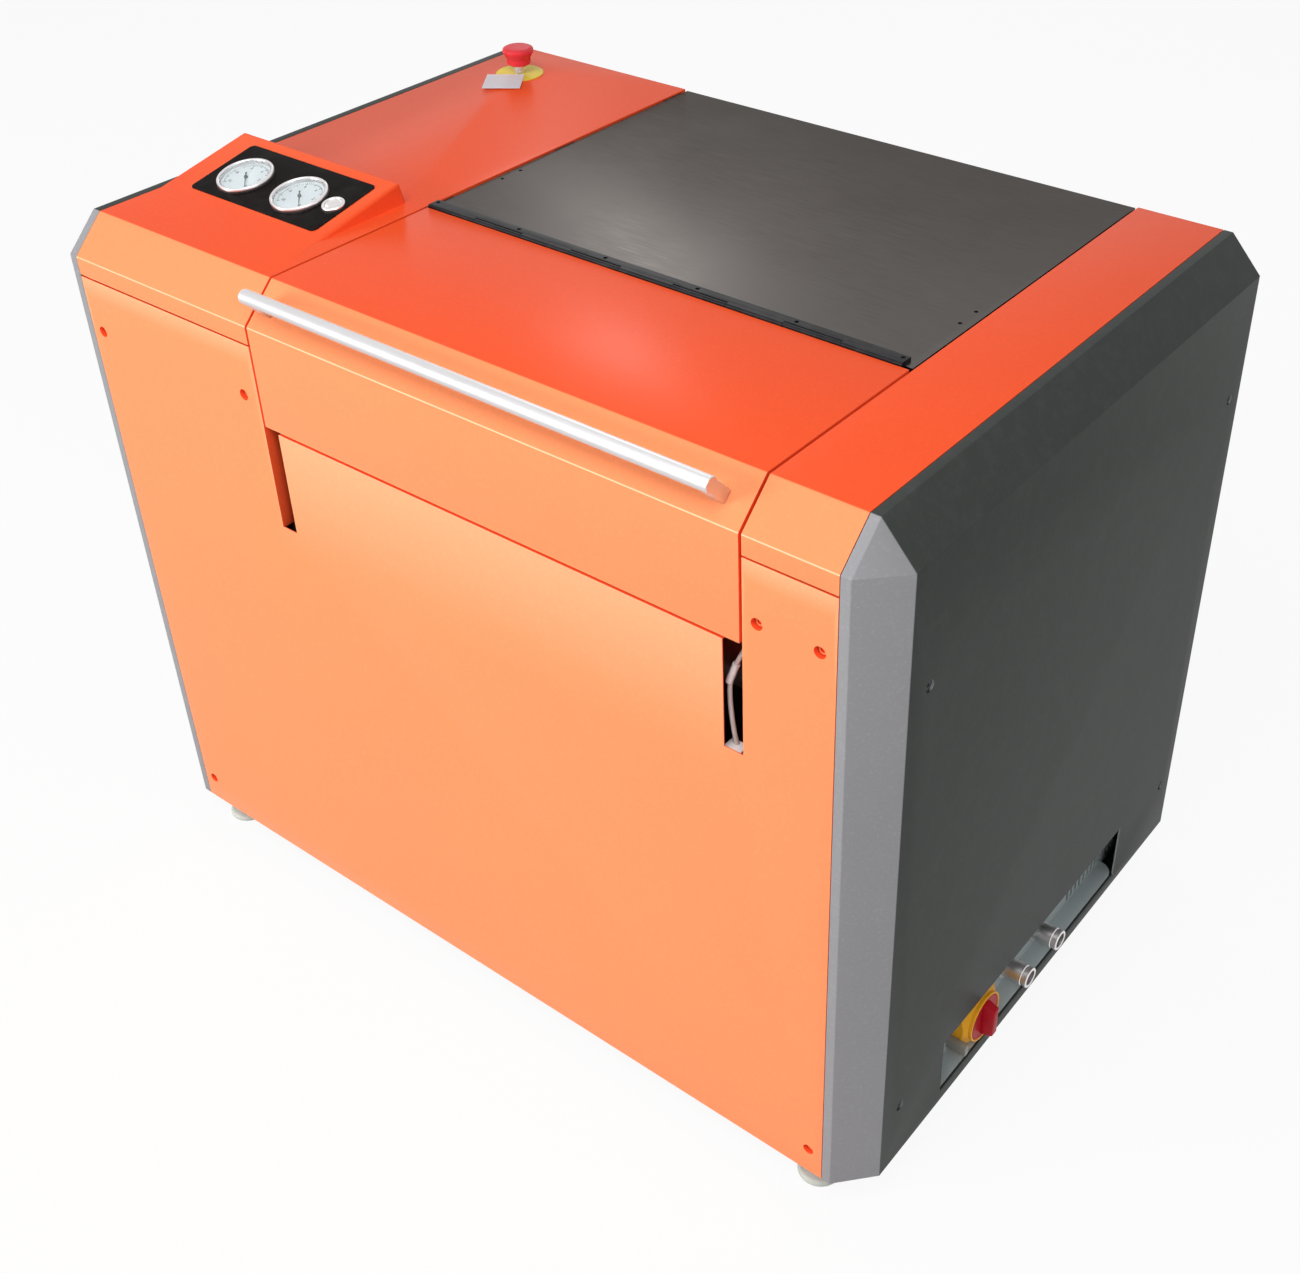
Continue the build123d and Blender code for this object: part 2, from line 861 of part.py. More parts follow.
def console_fascia():
    """Black front plate of the console with its holes."""
    width = fascia_right - fascia_left
    outline = RectangleRounded(width, fascia_height, fascia_corner)
    middle = on_console((fascia_left + fascia_right) / 2, fascia_start + fascia_height / 2, 0)
    fascia = middle * extrude(outline, amount=fascia_thickness)
    for x in gauge_places:
        fascia -= console_rod(x, gauge_up, -overcut, gauge_rise, gauge_case_radius + screw_clear)
    return fascia - console_rod(button_x, button_up, -overcut, button_rise, button_case_radius + screw_clear)


def gauge_cases():
    """Two round gauge cases with deep front rings."""
    cases = []
    for x in gauge_places:
        case = console_rod(x, gauge_up, -gauge_depth, fascia_thickness, gauge_case_radius)
        case += console_rod(x, gauge_up, fascia_thickness, fascia_thickness + gauge_rise, gauge_radius)
        case -= console_rod(x, gauge_up, dial_level, gauge_rise + overcut, gauge_bore)
        case -= console_rod(x, gauge_up, dial_level - spindle_seat, dial_level, spindle_radius + fit)
        cases.append(case)
    return Compound(cases)


def gauge_dials():
    """White dial plates inside the gauges."""
    dials = []
    for x in gauge_places:
        dial = console_rod(x, gauge_up, dial_level, dial_level + dial_thickness, gauge_bore - fit)
        dial -= console_rod(x, gauge_up, dial_level - overcut, dial_level + overcut, spindle_radius + fit)
        dials.append(dial)
    return Compound(dials)


def gauge_lenses():
    """Flat glasses in the front rings of the gauges."""
    high = fascia_thickness + gauge_rise - lens_recess
    lenses = [console_rod(x, gauge_up, high - lens_thickness, high, gauge_bore - fit) for x in gauge_places]
    return Compound(lenses)


def gauge_needle(x):
    """Needle with hub and spindle, at rest on the lower right end of the scale."""
    low = dial_level + dial_thickness + needle_lift
    hub_low = dial_level + dial_thickness + fit
    needle = console_rod(x, gauge_up, hub_low, hub_low + needle_hub_height, needle_hub_radius)
    needle += console_rod(x, gauge_up, dial_level - spindle_seat + fit, hub_low + fit, spindle_radius)
    blade = Box(needle_width, needle_length + needle_tail, needle_thickness)
    ahead = Pos(0, (needle_length - needle_tail) / 2, 0)
    return needle + on_console(x, gauge_up, low) * Rot(0, 0, needle_rest) * ahead * blade


def button_bezel():
    """Chrome ring and case of the push button."""
    low = fascia_thickness
    case = console_rod(button_x, button_up, -button_depth, low, button_case_radius)
    case += console_rod(button_x, button_up, low, low + button_rise, button_radius)
    floor = low + button_cap_rise - button_cap_length - button_travel - screw_clear
    case -= console_rod(button_x, button_up, floor, low + button_rise + overcut, button_cap_radius + fit)
    return case


def push_button():
    """Dished metal cap that is pressed in."""
    high = fascia_thickness + button_cap_rise
    cap = console_rod(button_x, button_up, high - button_cap_length, high, button_cap_radius)
    bowl = button_cap_radius ** 2 / (2 * button_dish) + button_dish / 2
    cap -= on_console(button_x, button_up, high - button_dish + bowl) * Sphere(bowl)
    return cap


def stop_label():
    """Yellow disc under the emergency stop."""
    disc = rod_z(stop_x, stop_y, top, top + stop_label_thickness, stop_label_radius)
    return disc - rod_z(stop_x, stop_y, top - overcut, top + overcut, stop_neck_radius + screw_clear)


def stop_body():
    """Chrome neck and contact block of the emergency stop."""
    body = rod_z(stop_x, stop_y, top - stop_body_depth, top - sheet, stop_body_radius)
    body += rod_z(stop_x, stop_y, top - sheet, top + stop_neck_height, stop_neck_radius)
    bore_bottom = top + stop_cap_bottom - stop_shaft_length - 2 * stop_travel
    return body - rod_z(stop_x, stop_y, bore_bottom, top + flange, stop_shaft_radius + fit)


def stop_button():
    """Red flared cap with its shaft, pushed down to stop the machine."""
    profile = [
        (0, stop_cap_bottom),
        (stop_skirt_radius - stop_travel, stop_cap_bottom),
        (stop_skirt_radius, stop_cap_bottom + stop_label_thickness),
        (stop_skirt_radius, stop_skirt_top),
        (stop_cap_radius, stop_rim_bottom),
        (stop_cap_radius, stop_rim_top),
        (stop_skirt_radius, stop_cap_height - stop_label_thickness),
        (0, stop_cap_height),
    ]
    face = make_face(Polyline(*profile, close=True))
    cap = revolve(Plane.XZ * face, axis=Axis.Z)
    hollow_top = stop_neck_height + stop_travel + 1
    cap -= rod_z(0, 0, 0, hollow_top, stop_neck_radius + 2 * screw_clear)
    cap += rod_z(0, 0, stop_cap_bottom - stop_shaft_length, hollow_top, stop_shaft_radius)
    return Pos(stop_x, stop_y, top) * cap


def tag_card():
    """Blank card that lies on the label."""
    low = top + stop_label_thickness
    card = Box(card_width, card_length, card_thickness, align=(Align.CENTER, Align.CENTER, Align.MIN))
    return Pos(stop_x + card_aside, stop_y - card_before, low) * Rot(0, 0, card_turn) * card


def tube_along_x(x0, x1, y, z0):
    """Square tube along X, centred on y."""
    side, wall = tube_size, tube_wall
    outer = block(x0, x1, y - side / 2, y + side / 2, z0, z0 + side)
    inner = block(x0, x1, y - side / 2 + wall, y + side / 2 - wall, z0 + wall, z0 + side - wall)
    return outer - inner


def tube_along_y(x, y0, y1, z0):
    """Square tube along Y, centred on x."""
    side, wall = tube_size, tube_wall
    outer = block(x - side / 2, x + side / 2, y0, y1, z0, z0 + side)
    inner = block(x - side / 2 + wall, x + side / 2 - wall, y0, y1, z0 + wall, z0 + side - wall)
    return outer - inner


def tube_along_z(x, y, z0, z1):
    """Square tube along Z, centred on x and y."""
    side, wall = tube_size, tube_wall
    outer = block(x - side / 2, x + side / 2, y - side / 2, y + side / 2, z0, z1)
    low, far = -side / 2 + wall, side / 2 - wall
    return outer - block(x + low, x + far, y + low, y + far, z0, z1)


def foot_places():
    """Centres of the four feet, under the ends of the front and rear rails."""
    across = frame_half - tube_size / 2
    along = (frame_front + tube_size / 2, upright_rear)
    return [(x, y) for x in (-across, across) for y in along]


def lower_rails():
    """Square tubes of the lower frame, with the holes for the feet."""
    front = tube_along_x(-frame_half, frame_half, frame_front + tube_size / 2, 0)
    rear = tube_along_x(-frame_half, frame_half, upright_rear, 0)
    for x, y in foot_places():
        hole = rod_z(x, y, -overcut, tube_wall + overcut, stem_radius + 3 * screw_clear)
        if y < body_depth / 2:
            front -= hole
        else:
            rear -= hole
    for x in (-front_screw_outer, front_screw_outer):
        hole = screw_shank_radius + 2 * screw_clear
        front -= rod_y(x, 0, frame_front + tube_wall + overcut, front_screw_low, hole)
    across = frame_half - tube_size / 2
    ends = (frame_front + tube_size, upright_rear - tube_size / 2)
    sides = [tube_along_y(x, ends[0], ends[1], 0) for x in (-across, across)]
    return [front, rear] + sides


def frame_uprights():
    """Four corner uprights on the tray."""
    across = frame_half - tube_size / 2
    posts = []
    for x in (-across, across):
        for y in (upright_front, upright_rear):
            posts.append(tube_along_z(x, y, tray_top, rail_top - tube_size))
    return posts


def upper_rails():
    """Side rails under the covers and the beams under the table."""
    across = frame_half - tube_size / 2
    y0 = upright_front - tube_size / 2
    y1 = upright_rear + tube_size / 2
    rails = [tube_along_y(x, y0, y1, rail_top - tube_size) for x in (-across, across)]
    inner = frame_half - tube_size
    z0 = beam_top - tube_size
    rails += [tube_along_x(-inner, inner, y, z0) for y in (middle_beam_y, upright_rear)]
    front = tube_along_x(cheek_left, cheek_right, front_beam_y, z0)
    for x, y in strip_screw_places():
        hole = strip_shank_radius + screw_clear
        front -= rod_z(x, y, beam_top - strip_screw_depth, beam_top + overcut, hole)
    return rails + [front]


def base_tray():
    """Floor plate on the lower rails."""
    return block(-frame_half, frame_half, frame_front, upright_rear + tube_size / 2, tube_size, tray_top)


def foot_pads():
    """Round pads that the machine stands on."""
    pads = []
    for x, y in foot_places():
        pad = rod_z(x, y, -foot_height, -foot_height + pad_height, pad_radius)
        pad -= rod_z(x, y, -foot_height + pad_height - stem_socket, 0, stem_radius + fit)
        pads.append(pad)
    return Compound(pads)


def foot_stems():
    """Threaded stems with a lock nut below and a nut inside the rail."""
    pieces = []
    for x, y in foot_places():
        bottom = -foot_height + pad_height - stem_socket
        pieces.append(rod_z(x, y, bottom, stem_rise, stem_radius))
        for z0 in (-foot_nut_height, tube_wall):
            nut = extrude(RegularPolygon(foot_nut_radius, 6), amount=foot_nut_height)
            nut = Pos(x, y, z0) * nut
            pieces.append(nut - rod_z(x, y, z0 - overcut, z0 + 2 * foot_nut_height, stem_radius + fit))
    return Compound(pieces)


def panel_standoffs():
    """Spacers between the frame and the front, side and back panels."""
    spacers = []
    bore = screw_shank_radius + screw_clear
    for x, z, depth in front_screw_places():
        spacer = rod_y(x, sheet, depth, z, standoff_radius)
        spacer -= rod_y(x, 0, sheet + screw_recess, z, front_hole_radius)
        spacers.append(spacer - rod_y(x, 0, depth - fit, z, bore))
    for side in (-1, 1):
        for y in (upright_front, upright_rear):
            for z in (side_screw_low, side_screw_high):
                ends = sorted((side * frame_half, side * (side_outer - panel_wall)))
                spacer = rod_x(ends[0], ends[1], y, z, standoff_radius)
                hole = sorted((side * (side_outer - panel_wall - screw_length), side * side_outer))
                spacers.append(spacer - rod_x(hole[0], hole[1], y, z, bore))
    for x, z in back_screw_places():
        spacer = rod_y(x, upright_rear + tube_size / 2, body_depth - sheet, z, standoff_radius)
        spacers.append(spacer - rod_y(x, upright_rear, body_depth, z, bore))
    return Compound(spacers)


def panel_screws():
    """Socket screws of the front, side and back panels."""
    screws = []
    for x, z, depth in front_screw_places():
        seat = sheet + screw_recess
        screw = rod_y(x, seat - screw_head_height, seat, z, screw_head_radius)
        screw += rod_y(x, seat, seat + screw_length, z, screw_shank_radius)
        screws.append(screw)
    for side in (-1, 1):
        for y in (upright_front, upright_rear):
            for z in (side_screw_low, side_screw_high):
                seat = side_outer - panel_wall
                head = sorted((side * seat, side * (seat + side_head_height)))
                shank = sorted((side * seat, side * (seat - screw_length + fit)))
                screw = rod_x(head[0], head[1], y, z, side_hole_radius - screw_clear)
                screws.append(screw + rod_x(shank[0], shank[1], y, z, screw_shank_radius))
    for x, z in back_screw_places():
        inner_end = upright_rear + tube_size / 2 + fit
        screw = rod_y(x, inner_end, body_depth, z, screw_shank_radius)
        screws.append(screw + rod_y(x, body_depth, body_depth + side_head_height, z, screw_head_radius))
    return screws


def strip_screws():
    """Small countersunk screws of the hinge strip."""
    screws = []
    for x, y in strip_screw_places():
        high = top + strip_rise
        screw = rod_z(x, y, high - strip_head_height, high, strip_screw_radius)
        screw += rod_z(x, y, high - strip_screw_depth, high - strip_head_height, strip_shank_radius)
        screws.append(screw)
    return screws


def cheek(x0):
    """Side plate that carries the drum and the linear axis."""
    outline = [
        (frame_front, tray_top),
        (cheek_back, tray_top),
        (cheek_back, beam_top),
        (cheek_step_y, beam_top),
        (cheek_step_y, cheek_low_top),
        (frame_front, cheek_low_top),
    ]
    x1 = x0 + cheek_thickness
    plate = prism(outline, x0, x1)
    plate -= rod_x(x0 - overcut, x1 + overcut, drum_y, drum_z, bearing_radius + fit)
    plate -= rod_x(x0 - overcut, x1 + overcut, screw_y, screw_z, bush_radius + fit)
    middle = (x0 + x1) / 2
    hole_end = frame_front + screw_length
    return plate - rod_y(middle, 0, hole_end, front_screw_high, screw_shank_radius + screw_clear)


def drum_shell():
    """Hollow drum with end discs and vacuum grooves."""
    shell = rod_x(drum_x0, drum_x1, drum_y, drum_z, drum_radius)
    inner = drum_radius - drum_wall
    shell -= rod_x(drum_x0 + drum_disc, drum_x1 - drum_disc, drum_y, drum_z, inner)
    pitch = (drum_x1 - drum_x0) / (groove_count + 1)
    grooves = []
    for index in range(groove_count):
        x = drum_x0 + (index + 1) * pitch
        ring = rod_x(x - groove_width / 2, x + groove_width / 2, drum_y, drum_z, drum_radius + overcut)
        ring -= rod_x(x - groove_width, x + groove_width, drum_y, drum_z, drum_radius - groove_depth)
        grooves.append(ring)
    shell -= grooves
    return shell - rod_x(drum_x0 - overcut, drum_x1 + overcut, drum_y, drum_z, shaft_radius + fit)


def drum_shaft():
    """Stepped shaft through the drum, the bearings and the rotary union."""
    shaft = rod_x(pulley_x1 + shaft_step, union_x0 - shaft_step, drum_y, drum_z, shaft_radius)
    shaft += rod_x(pulley_x0 - shaft_step, pulley_x1 + shaft_step, drum_y, drum_z, shaft_end_radius)
    return shaft + rod_x(union_x0 - shaft_step, union_x0 + union_seat, drum_y, drum_z, union_shaft_radius)


def drum_bearings():
    """Ball bearings in the cheek plates, as plain rings."""
    rings = []
    for x0 in (cheek_left_out, cheek_right):
        ring = rod_x(x0, x0 + cheek_thickness, drum_y, drum_z, bearing_radius)
        ends = (x0 - overcut, x0 + cheek_thickness + overcut)
        rings.append(ring - rod_x(*ends, drum_y, drum_z, shaft_radius + fit))
    return Compound(rings)


def plate_clamps():
    """Two bars that hold the ends of a plate on the drum."""
    x0, x1 = drum_x0 + clamp_end_inset, drum_x1 - clamp_end_inset
    ring = rod_x(x0, x1, drum_y, drum_z, drum_radius + clamp_height)
    ring -= rod_x(x0 - overcut, x1 + overcut, drum_y, drum_z, drum_radius + fit)
    bars = []
    for shift in (-clamp_width, clamp_width):
        y = drum_y + shift
        keep = block(x0, x1, y - clamp_width / 2 + overcut, y + clamp_width / 2 - overcut, drum_z, top)
        bars.append(ring & keep)
    return Compound(bars)


def flanged_pulley(y, z, radius, bore):
    """Belt pulley with a flange on each side."""
    pulley = rod_x(pulley_x0, pulley_x1, y, z, radius)
    for x in (pulley_x0, pulley_x1 - pulley_flange_width):
        pulley += rod_x(x, x + pulley_flange_width, y, z, radius + pulley_flange)
    return pulley - rod_x(pulley_x0 - overcut, pulley_x1 + overcut, y, z, bore + fit)


def motor_pulley():
    """Small pulley and its motor shaft."""
    pulley = flanged_pulley(drum_y, motor_z, motor_pulley_radius, motor_shaft_radius)
    shaft = rod_x(motor_face - motor_shaft_grip, pulley_x1, drum_y, motor_z, motor_shaft_radius)
    return Compound([pulley, shaft])


def belt_outline(grow):
    """Outline round both pulleys, grow away from their faces, as a solid over the belt's width."""
    big = pulley_radius + grow
    small = motor_pulley_radius + grow
    middle = (pulley_x0 + pulley_x1) / 2
    lean = (big - small) / motor_drop
    level = (1 - lean ** 2) ** 0.5
    outline = [
        (drum_y - big * level, drum_z - big * lean),
        (drum_y + big * level, drum_z - big * lean),
        (drum_y + small * level, motor_z - small * lean),
        (drum_y - small * level, motor_z - small * lean),
    ]
    x0, x1 = middle - belt_width / 2, middle + belt_width / 2
    loop = prism(outline, x0, x1)
    loop += rod_x(x0, x1, drum_y, drum_z, big)
    return loop + rod_x(x0, x1, drum_y, motor_z, small)


def drive_belt():
    """Belt round the two pulleys."""
    return belt_outline(belt_clear + belt_thickness) - belt_outline(belt_clear)


def drive_motor():
    """Servo motor with a bore round its shaft."""
    size = motor_size / 2
    sides = (drum_y - size, drum_y + size, motor_z - size, motor_z + size)
    motor = block(motor_face - motor_length, motor_face, *sides)
    ends = (motor_face - motor_shaft_grip - overcut, motor_face + overcut)
    bore = rod_x(*ends, drum_y, motor_z, motor_shaft_radius + fit)
    return motor - bore


def motor_bracket():
    """Plate and four posts that carry the motor on the left cheek."""
    size = motor_size / 2 + motor_plate_margin
    bracket = block(motor_face, motor_plate_x1, drum_y - size, drum_y + size, motor_z - size, motor_z + size)
    ends = (motor_face - overcut, motor_plate_x1 + overcut)
    bracket -= rod_x(*ends, drum_y, motor_z, motor_shaft_radius + motor_hole_room)
    for dy in (-motor_post_offset, motor_post_offset):
        for dz in (-motor_post_offset, motor_post_offset):
            bracket += rod_x(motor_plate_x1, cheek_left_out, drum_y + dy, motor_z + dz, motor_post_radius)
    return bracket


def rotary_union():
    """Rotary union at the right end of the shaft, on three posts."""
    body = rod_x(union_x0, union_x0 + union_length, drum_y, drum_z, union_radius)
    body += rod_x(union_x0, union_x0 + union_flange_width, drum_y, drum_z, union_flange_radius)
    stub_x = union_x0 + union_length / 2
    stub_bottom = drum_z - union_radius - union_stub_length
    body += rod_z(stub_x, drum_y, stub_bottom, drum_z, union_stub_radius)
    for index in range(3):
        turn = 2 * pi * index / 3 + pi / 2
        y = drum_y + union_post_ring * cos(turn)
        z = drum_z + union_post_ring * sin(turn)
        body += rod_x(cheek_right_out, union_x0, y, z, union_post_radius)
    ends = (union_x0 - overcut, union_x0 + union_seat + overcut)
    return body - rod_x(*ends, drum_y, drum_z, union_shaft_radius + fit)


def axis_bed():
    """Beam between the cheeks that carries the rails."""
    return block(cheek_left, cheek_right, bed_front, bed_back, bed_bottom, bed_top)


def linear_rails():
    """Two guide rails on the bed."""
    x0, x1 = cheek_left + rail_end_gap, cheek_right - rail_end_gap
    width = rail_width / 2
    rails = [block(x0, x1, y - width, y + width, bed_top, bed_top + rail_height) for y in rail_places]
    return Compound(rails)


def carriage():
    """Carriage plate with four runners and the nut of the lead screw."""
    plate = block(carriage_x0, carriage_x1, bed_front, bed_back, carriage_z, head_bottom)
    groove = rail_width / 2 + rail_clear
    width = runner_width / 2
    low = bed_top + runner_lift
    for y in rail_places:
        for x0 in (carriage_x0, carriage_x1 - runner_length):
            x1 = x0 + runner_length
            runner = block(x0, x1, y - width, y + width, low, carriage_z)
            roof = bed_top + rail_height + rail_clear
            runner -= block(x0 - overcut, x1 + overcut, y - groove, y + groove, low - overcut, roof)
            plate += runner
    nut_x0, nut_x1 = carriage_x - nut_length / 2, carriage_x + nut_length / 2
    sides = (screw_y - nut_width / 2, screw_y + nut_width / 2)
    nut = block(nut_x0, nut_x1, *sides, carriage_z - nut_drop, carriage_z)
    nut -= rod_x(nut_x0 - overcut, nut_x1 + overcut, screw_y, screw_z, screw_radius + fit)
    return plate + nut


def laser_head():
    """Laser head on the carriage with its barrel towards the drum."""
    x0, x1 = carriage_x - head_width / 2, carriage_x + head_width / 2
    head_front = bed_front - head_reach_front
    head_back = bed_back + head_reach_back
    head = block(x0, x1, head_front, head_back, head_bottom, head_bottom + head_height)
    tip = drum_y + drum_radius + barrel_gap
    barrel_z = drum_z
    head += rod_y(carriage_x, tip, head_front, barrel_z, barrel_radius)
    return head - rod_y(carriage_x, tip - overcut, tip + lens_depth, barrel_z, lens_bore)


def lead_screw():
    """Lead screw with its coupling and motor shaft."""
    coupling_x1 = cheek_left_out - coupling_gap
    coupling_x0 = coupling_x1 - coupling_length
    screw = rod_x(coupling_x0, cheek_right_out, screw_y, screw_z, screw_radius)
    screw += rod_x(coupling_x0, coupling_x1, screw_y, screw_z, coupling_radius)
    motor_x = cheek_left_out - screw_motor_gap
    return screw + rod_x(motor_x - screw_motor_grip, coupling_x0, screw_y, screw_z, screw_motor_shaft)


def screw_bushes():
    """Flanged bushes of the lead screw in the cheeks."""
    bushes = []
    for x0, flange_x0 in (
        (cheek_left_out, cheek_left_out - bush_flange_width),
        (cheek_right, cheek_right_out),
    ):
        bush = rod_x(x0, x0 + cheek_thickness, screw_y, screw_z, bush_radius)
        bush += rod_x(flange_x0, flange_x0 + bush_flange_width, screw_y, screw_z, bush_flange_radius)
        bore_ends = (x0 - flange, x0 + cheek_thickness + flange)
        bushes.append(bush - rod_x(*bore_ends, screw_y, screw_z, screw_radius + fit))
    return Compound(bushes)


def screw_motor():
    """Stepper motor of the lead screw on four posts."""
    x1 = cheek_left_out - screw_motor_gap
    size = screw_motor_size / 2
    motor = block(x1 - screw_motor_length, x1, screw_y - size, screw_y + size, screw_z - size, screw_z + size)
    for dy in (-screw_post_offset, screw_post_offset):
        for dz in (-screw_post_offset, screw_post_offset):
            motor += rod_x(x1, cheek_left_out, screw_y + dy, screw_z + dz, screw_post_radius)
    bore_x0 = x1 - screw_motor_grip - overcut
    return motor - rod_x(bore_x0, x1 + overcut, screw_y, screw_z, screw_motor_shaft + fit)


def service_plate():
    """Light plate of the service recess with a bent floor, holes and louvres."""
    plate = block(service_back, service_face, plate_front, plate_back, plate_bottom, plate_top)
    floor_out = side_outer - panel_wall - floor_gap
    ends = (recess_front - floor_over_front, recess_back + floor_over_back)
    floor = block(service_face, floor_out, *ends, recess_bottom - panel_wall, recess_bottom)
    outer_edges = floor.edges().filter_by(Axis.Z).group_by(Axis.X)[-1]
    plate += fillet(outer_edges, floor_corner)
    for y in port_places:
        plate -= rod_x(service_back - overcut, service_face + overcut, y, port_z, tail_radius + screw_clear)
    slots = []
    for index in range(louvre_count):
        y = recess_back - louvre_lead + index * louvre_pitch
        sides = (y, y + louvre_width)
        ends = (service_back - overcut, service_face + overcut)
        slots.append(block(*ends, *sides, recess_bottom + louvre_rise, recess_top - louvre_drop))
    return plate - slots


def service_brackets():
    """Blocks that hold the service plate on the frame."""
    blocks = []
    for y in (plate_front + bracket_inset, plate_back - bracket_inset):
        sides = (y - bracket_width / 2, y + bracket_width / 2)
        blocks.append(block(frame_half, service_back, *sides, plate_bottom, tube_size))
    return blocks


def switch_housing():
    """Yellow housing of the main switch, square at its foot and round at its rim."""
    x0, x1 = service_face, service_face + switch_depth
    width, height = switch_width / 2, switch_height / 2
    housing = block(x0, x1, switch_y - width, switch_y + width, switch_z - height, switch_z + height)
    housing = fillet(housing.edges().filter_by(Axis.X), switch_corner)
    taper_start = Plane(origin=(x0 + switch_foot, switch_y, switch_z), z_dir=(1, 0, 0))
    along = (Align.CENTER, Align.CENTER, Align.MIN)
    outside = taper_start * Cylinder(switch_width, switch_depth, align=along)
    inside = Cone(switch_taper_radius, switch_rim_radius, switch_depth - switch_foot, align=along)
    housing -= outside - taper_start * inside
    bore_x0 = knob_face - knob_axle_length - overcut
    return housing - rod_x(bore_x0, x1 + overcut, switch_y, switch_z, knob_axle_radius + fit)


def switch_knob():
    """Red round knob with a grip bar, turned to switch the machine."""
    face = knob_face + knob_thickness
    knob = rod_x(knob_face, face, switch_y, switch_z, knob_radius)
    knob += rod_x(knob_face - knob_axle_length, knob_face, switch_y, switch_z, knob_axle_radius)
    width, length = grip_width / 2, grip_length / 2
    sides = (switch_y - width, switch_y + width, switch_z - length, switch_z + length)
    grip = block(face, face + grip_depth, *sides)
    grip = fillet(grip.edges().filter_by(Axis.X), grip_width / 4)
    return knob + grip


def padlock_tab():
    """Grey sliding tab beside the switch for a padlock."""
    x0 = service_face
    y1 = switch_y - switch_width / 2
    z0 = switch_z - switch_height / 2 + padlock_tab_rise
    return block(x0, x0 + padlock_tab_depth, y1 - padlock_tab_width, y1, z0, z0 + padlock_tab_height)


def hose_ports():
    """Two hose couplings that stand out of the service plate."""
    ports = []
    for y in port_places:
        x1 = service_face + port_length
        port = rod_x(service_face, x1, y, port_z, port_radius)
        port += rod_x(service_face, service_face + port_flange_length, y, port_z, port_flange_radius)
        port += rod_x(service_back - tail_length, service_face, y, port_z, tail_radius)
        ports.append(port - rod_x(x1 - port_bore_depth, x1 + overcut, y, port_z, port_bore))
    return Compound(ports)


def port_elbows():
    """Elbows behind the service plate, each with its stub upwards."""
    elbows = []
    for y in port_places:
        x0, x1 = service_back - elbow_reach, service_back
        sides = (y - elbow_radius, y + elbow_radius)
        elbow = block(x0, x1, *sides, port_z - elbow_radius, port_z + elbow_radius)
        stub_x = service_back - elbow_drop_in
        elbow += rod_z(stub_x, y, port_z + elbow_radius, port_z + elbow_rise, elbow_stub_radius)
        elbows.append(elbow - rod_x(service_back - tail_length, x1 + overcut, y, port_z, tail_radius + fit))
    return Compound(elbows)


def air_valves():
    """Valve block with two coils on the right cheek."""
    x0, x1 = cheek_right_out, cheek_right_out + valve_width
    sides = (valve_y - valve_length / 2, valve_y + valve_length / 2)
    valves = block(x0, x1, *sides, valve_bottom, valve_bottom + valve_height)
    z0 = valve_bottom + valve_height
    for shift in (-coil_spacing / 2, coil_spacing / 2):
        valves += rod_z((x0 + x1) / 2, valve_y + shift, z0, z0 + coil_height, coil_radius)
    return valves


def smooth_tube(points, radius):
    """Tube along straight runs joined by arcs, each arc as large as its two runs allow."""
    path = [Vector(*point) for point in points]
    radii = []
    for before, here, after in zip(path, path[1:], path[2:]):
        run_in, run_out = here - before, after - here
        turn = radians(run_in.get_angle(run_out))
        shorter = min(run_in.length, run_out.length)
        radii.append(0.45 * shorter / tan(turn / 2))
    print("arc radii", [round(value, 1) for value in radii])
    line = FilletPolyline(*path, radius=radii)
    start = Plane(origin=path[0], z_dir=path[1] - path[0])
    tube = sweep(start * Circle(radius), path=line)
    print("tube volume", round(tube.volume, 1), "section by length", round(pi * radius ** 2 * line.length, 1))
    return tube


def slot_hose_route():
    """Points of the hose behind the right front slot."""
    return [(arm_right - across, back, slot_bottom + up) for across, back, up in slot_hose_bends]


def slot_hose():
    """Thin hose seen through the right front slot."""
    return smooth_tube(slot_hose_route(), slot_hose_radius)


def slot_hose_fittings():
    """White end fittings and coupling sleeve of the slot hose."""
    route = slot_hose_route()
    top_end, low_end = route[0], route[-1]
    x1 = cheek_right
    size = fitting_size / 2
    high_z0 = top_end[2] - fitting_grip
    high = block(top_end[0] - size, x1, top_end[1] - size, top_end[1] + size, high_z0, high_z0 + fitting_size)
    width = low_fitting_width / 2
    low = block(
        low_end[0] - width,
        low_end[0] + width,
        sheet,
        low_fitting_depth,
        low_end[2] - low_fitting_height,
        low_end[2] + fitting_grip,
    )
    before, after = Vector(*route[2]), Vector(*route[3])
    along = (after - before).normalized()
    middle = before + along * ((before.Z - slot_bottom - sleeve_height) / -along.Z)
    place = Plane(origin=middle, z_dir=along)
    sleeve = place * Cylinder(sleeve_radius, sleeve_length)
    hose = smooth_tube(route, slot_hose_radius + fit)
    return Compound([high - hose, low - hose, sleeve - hose])


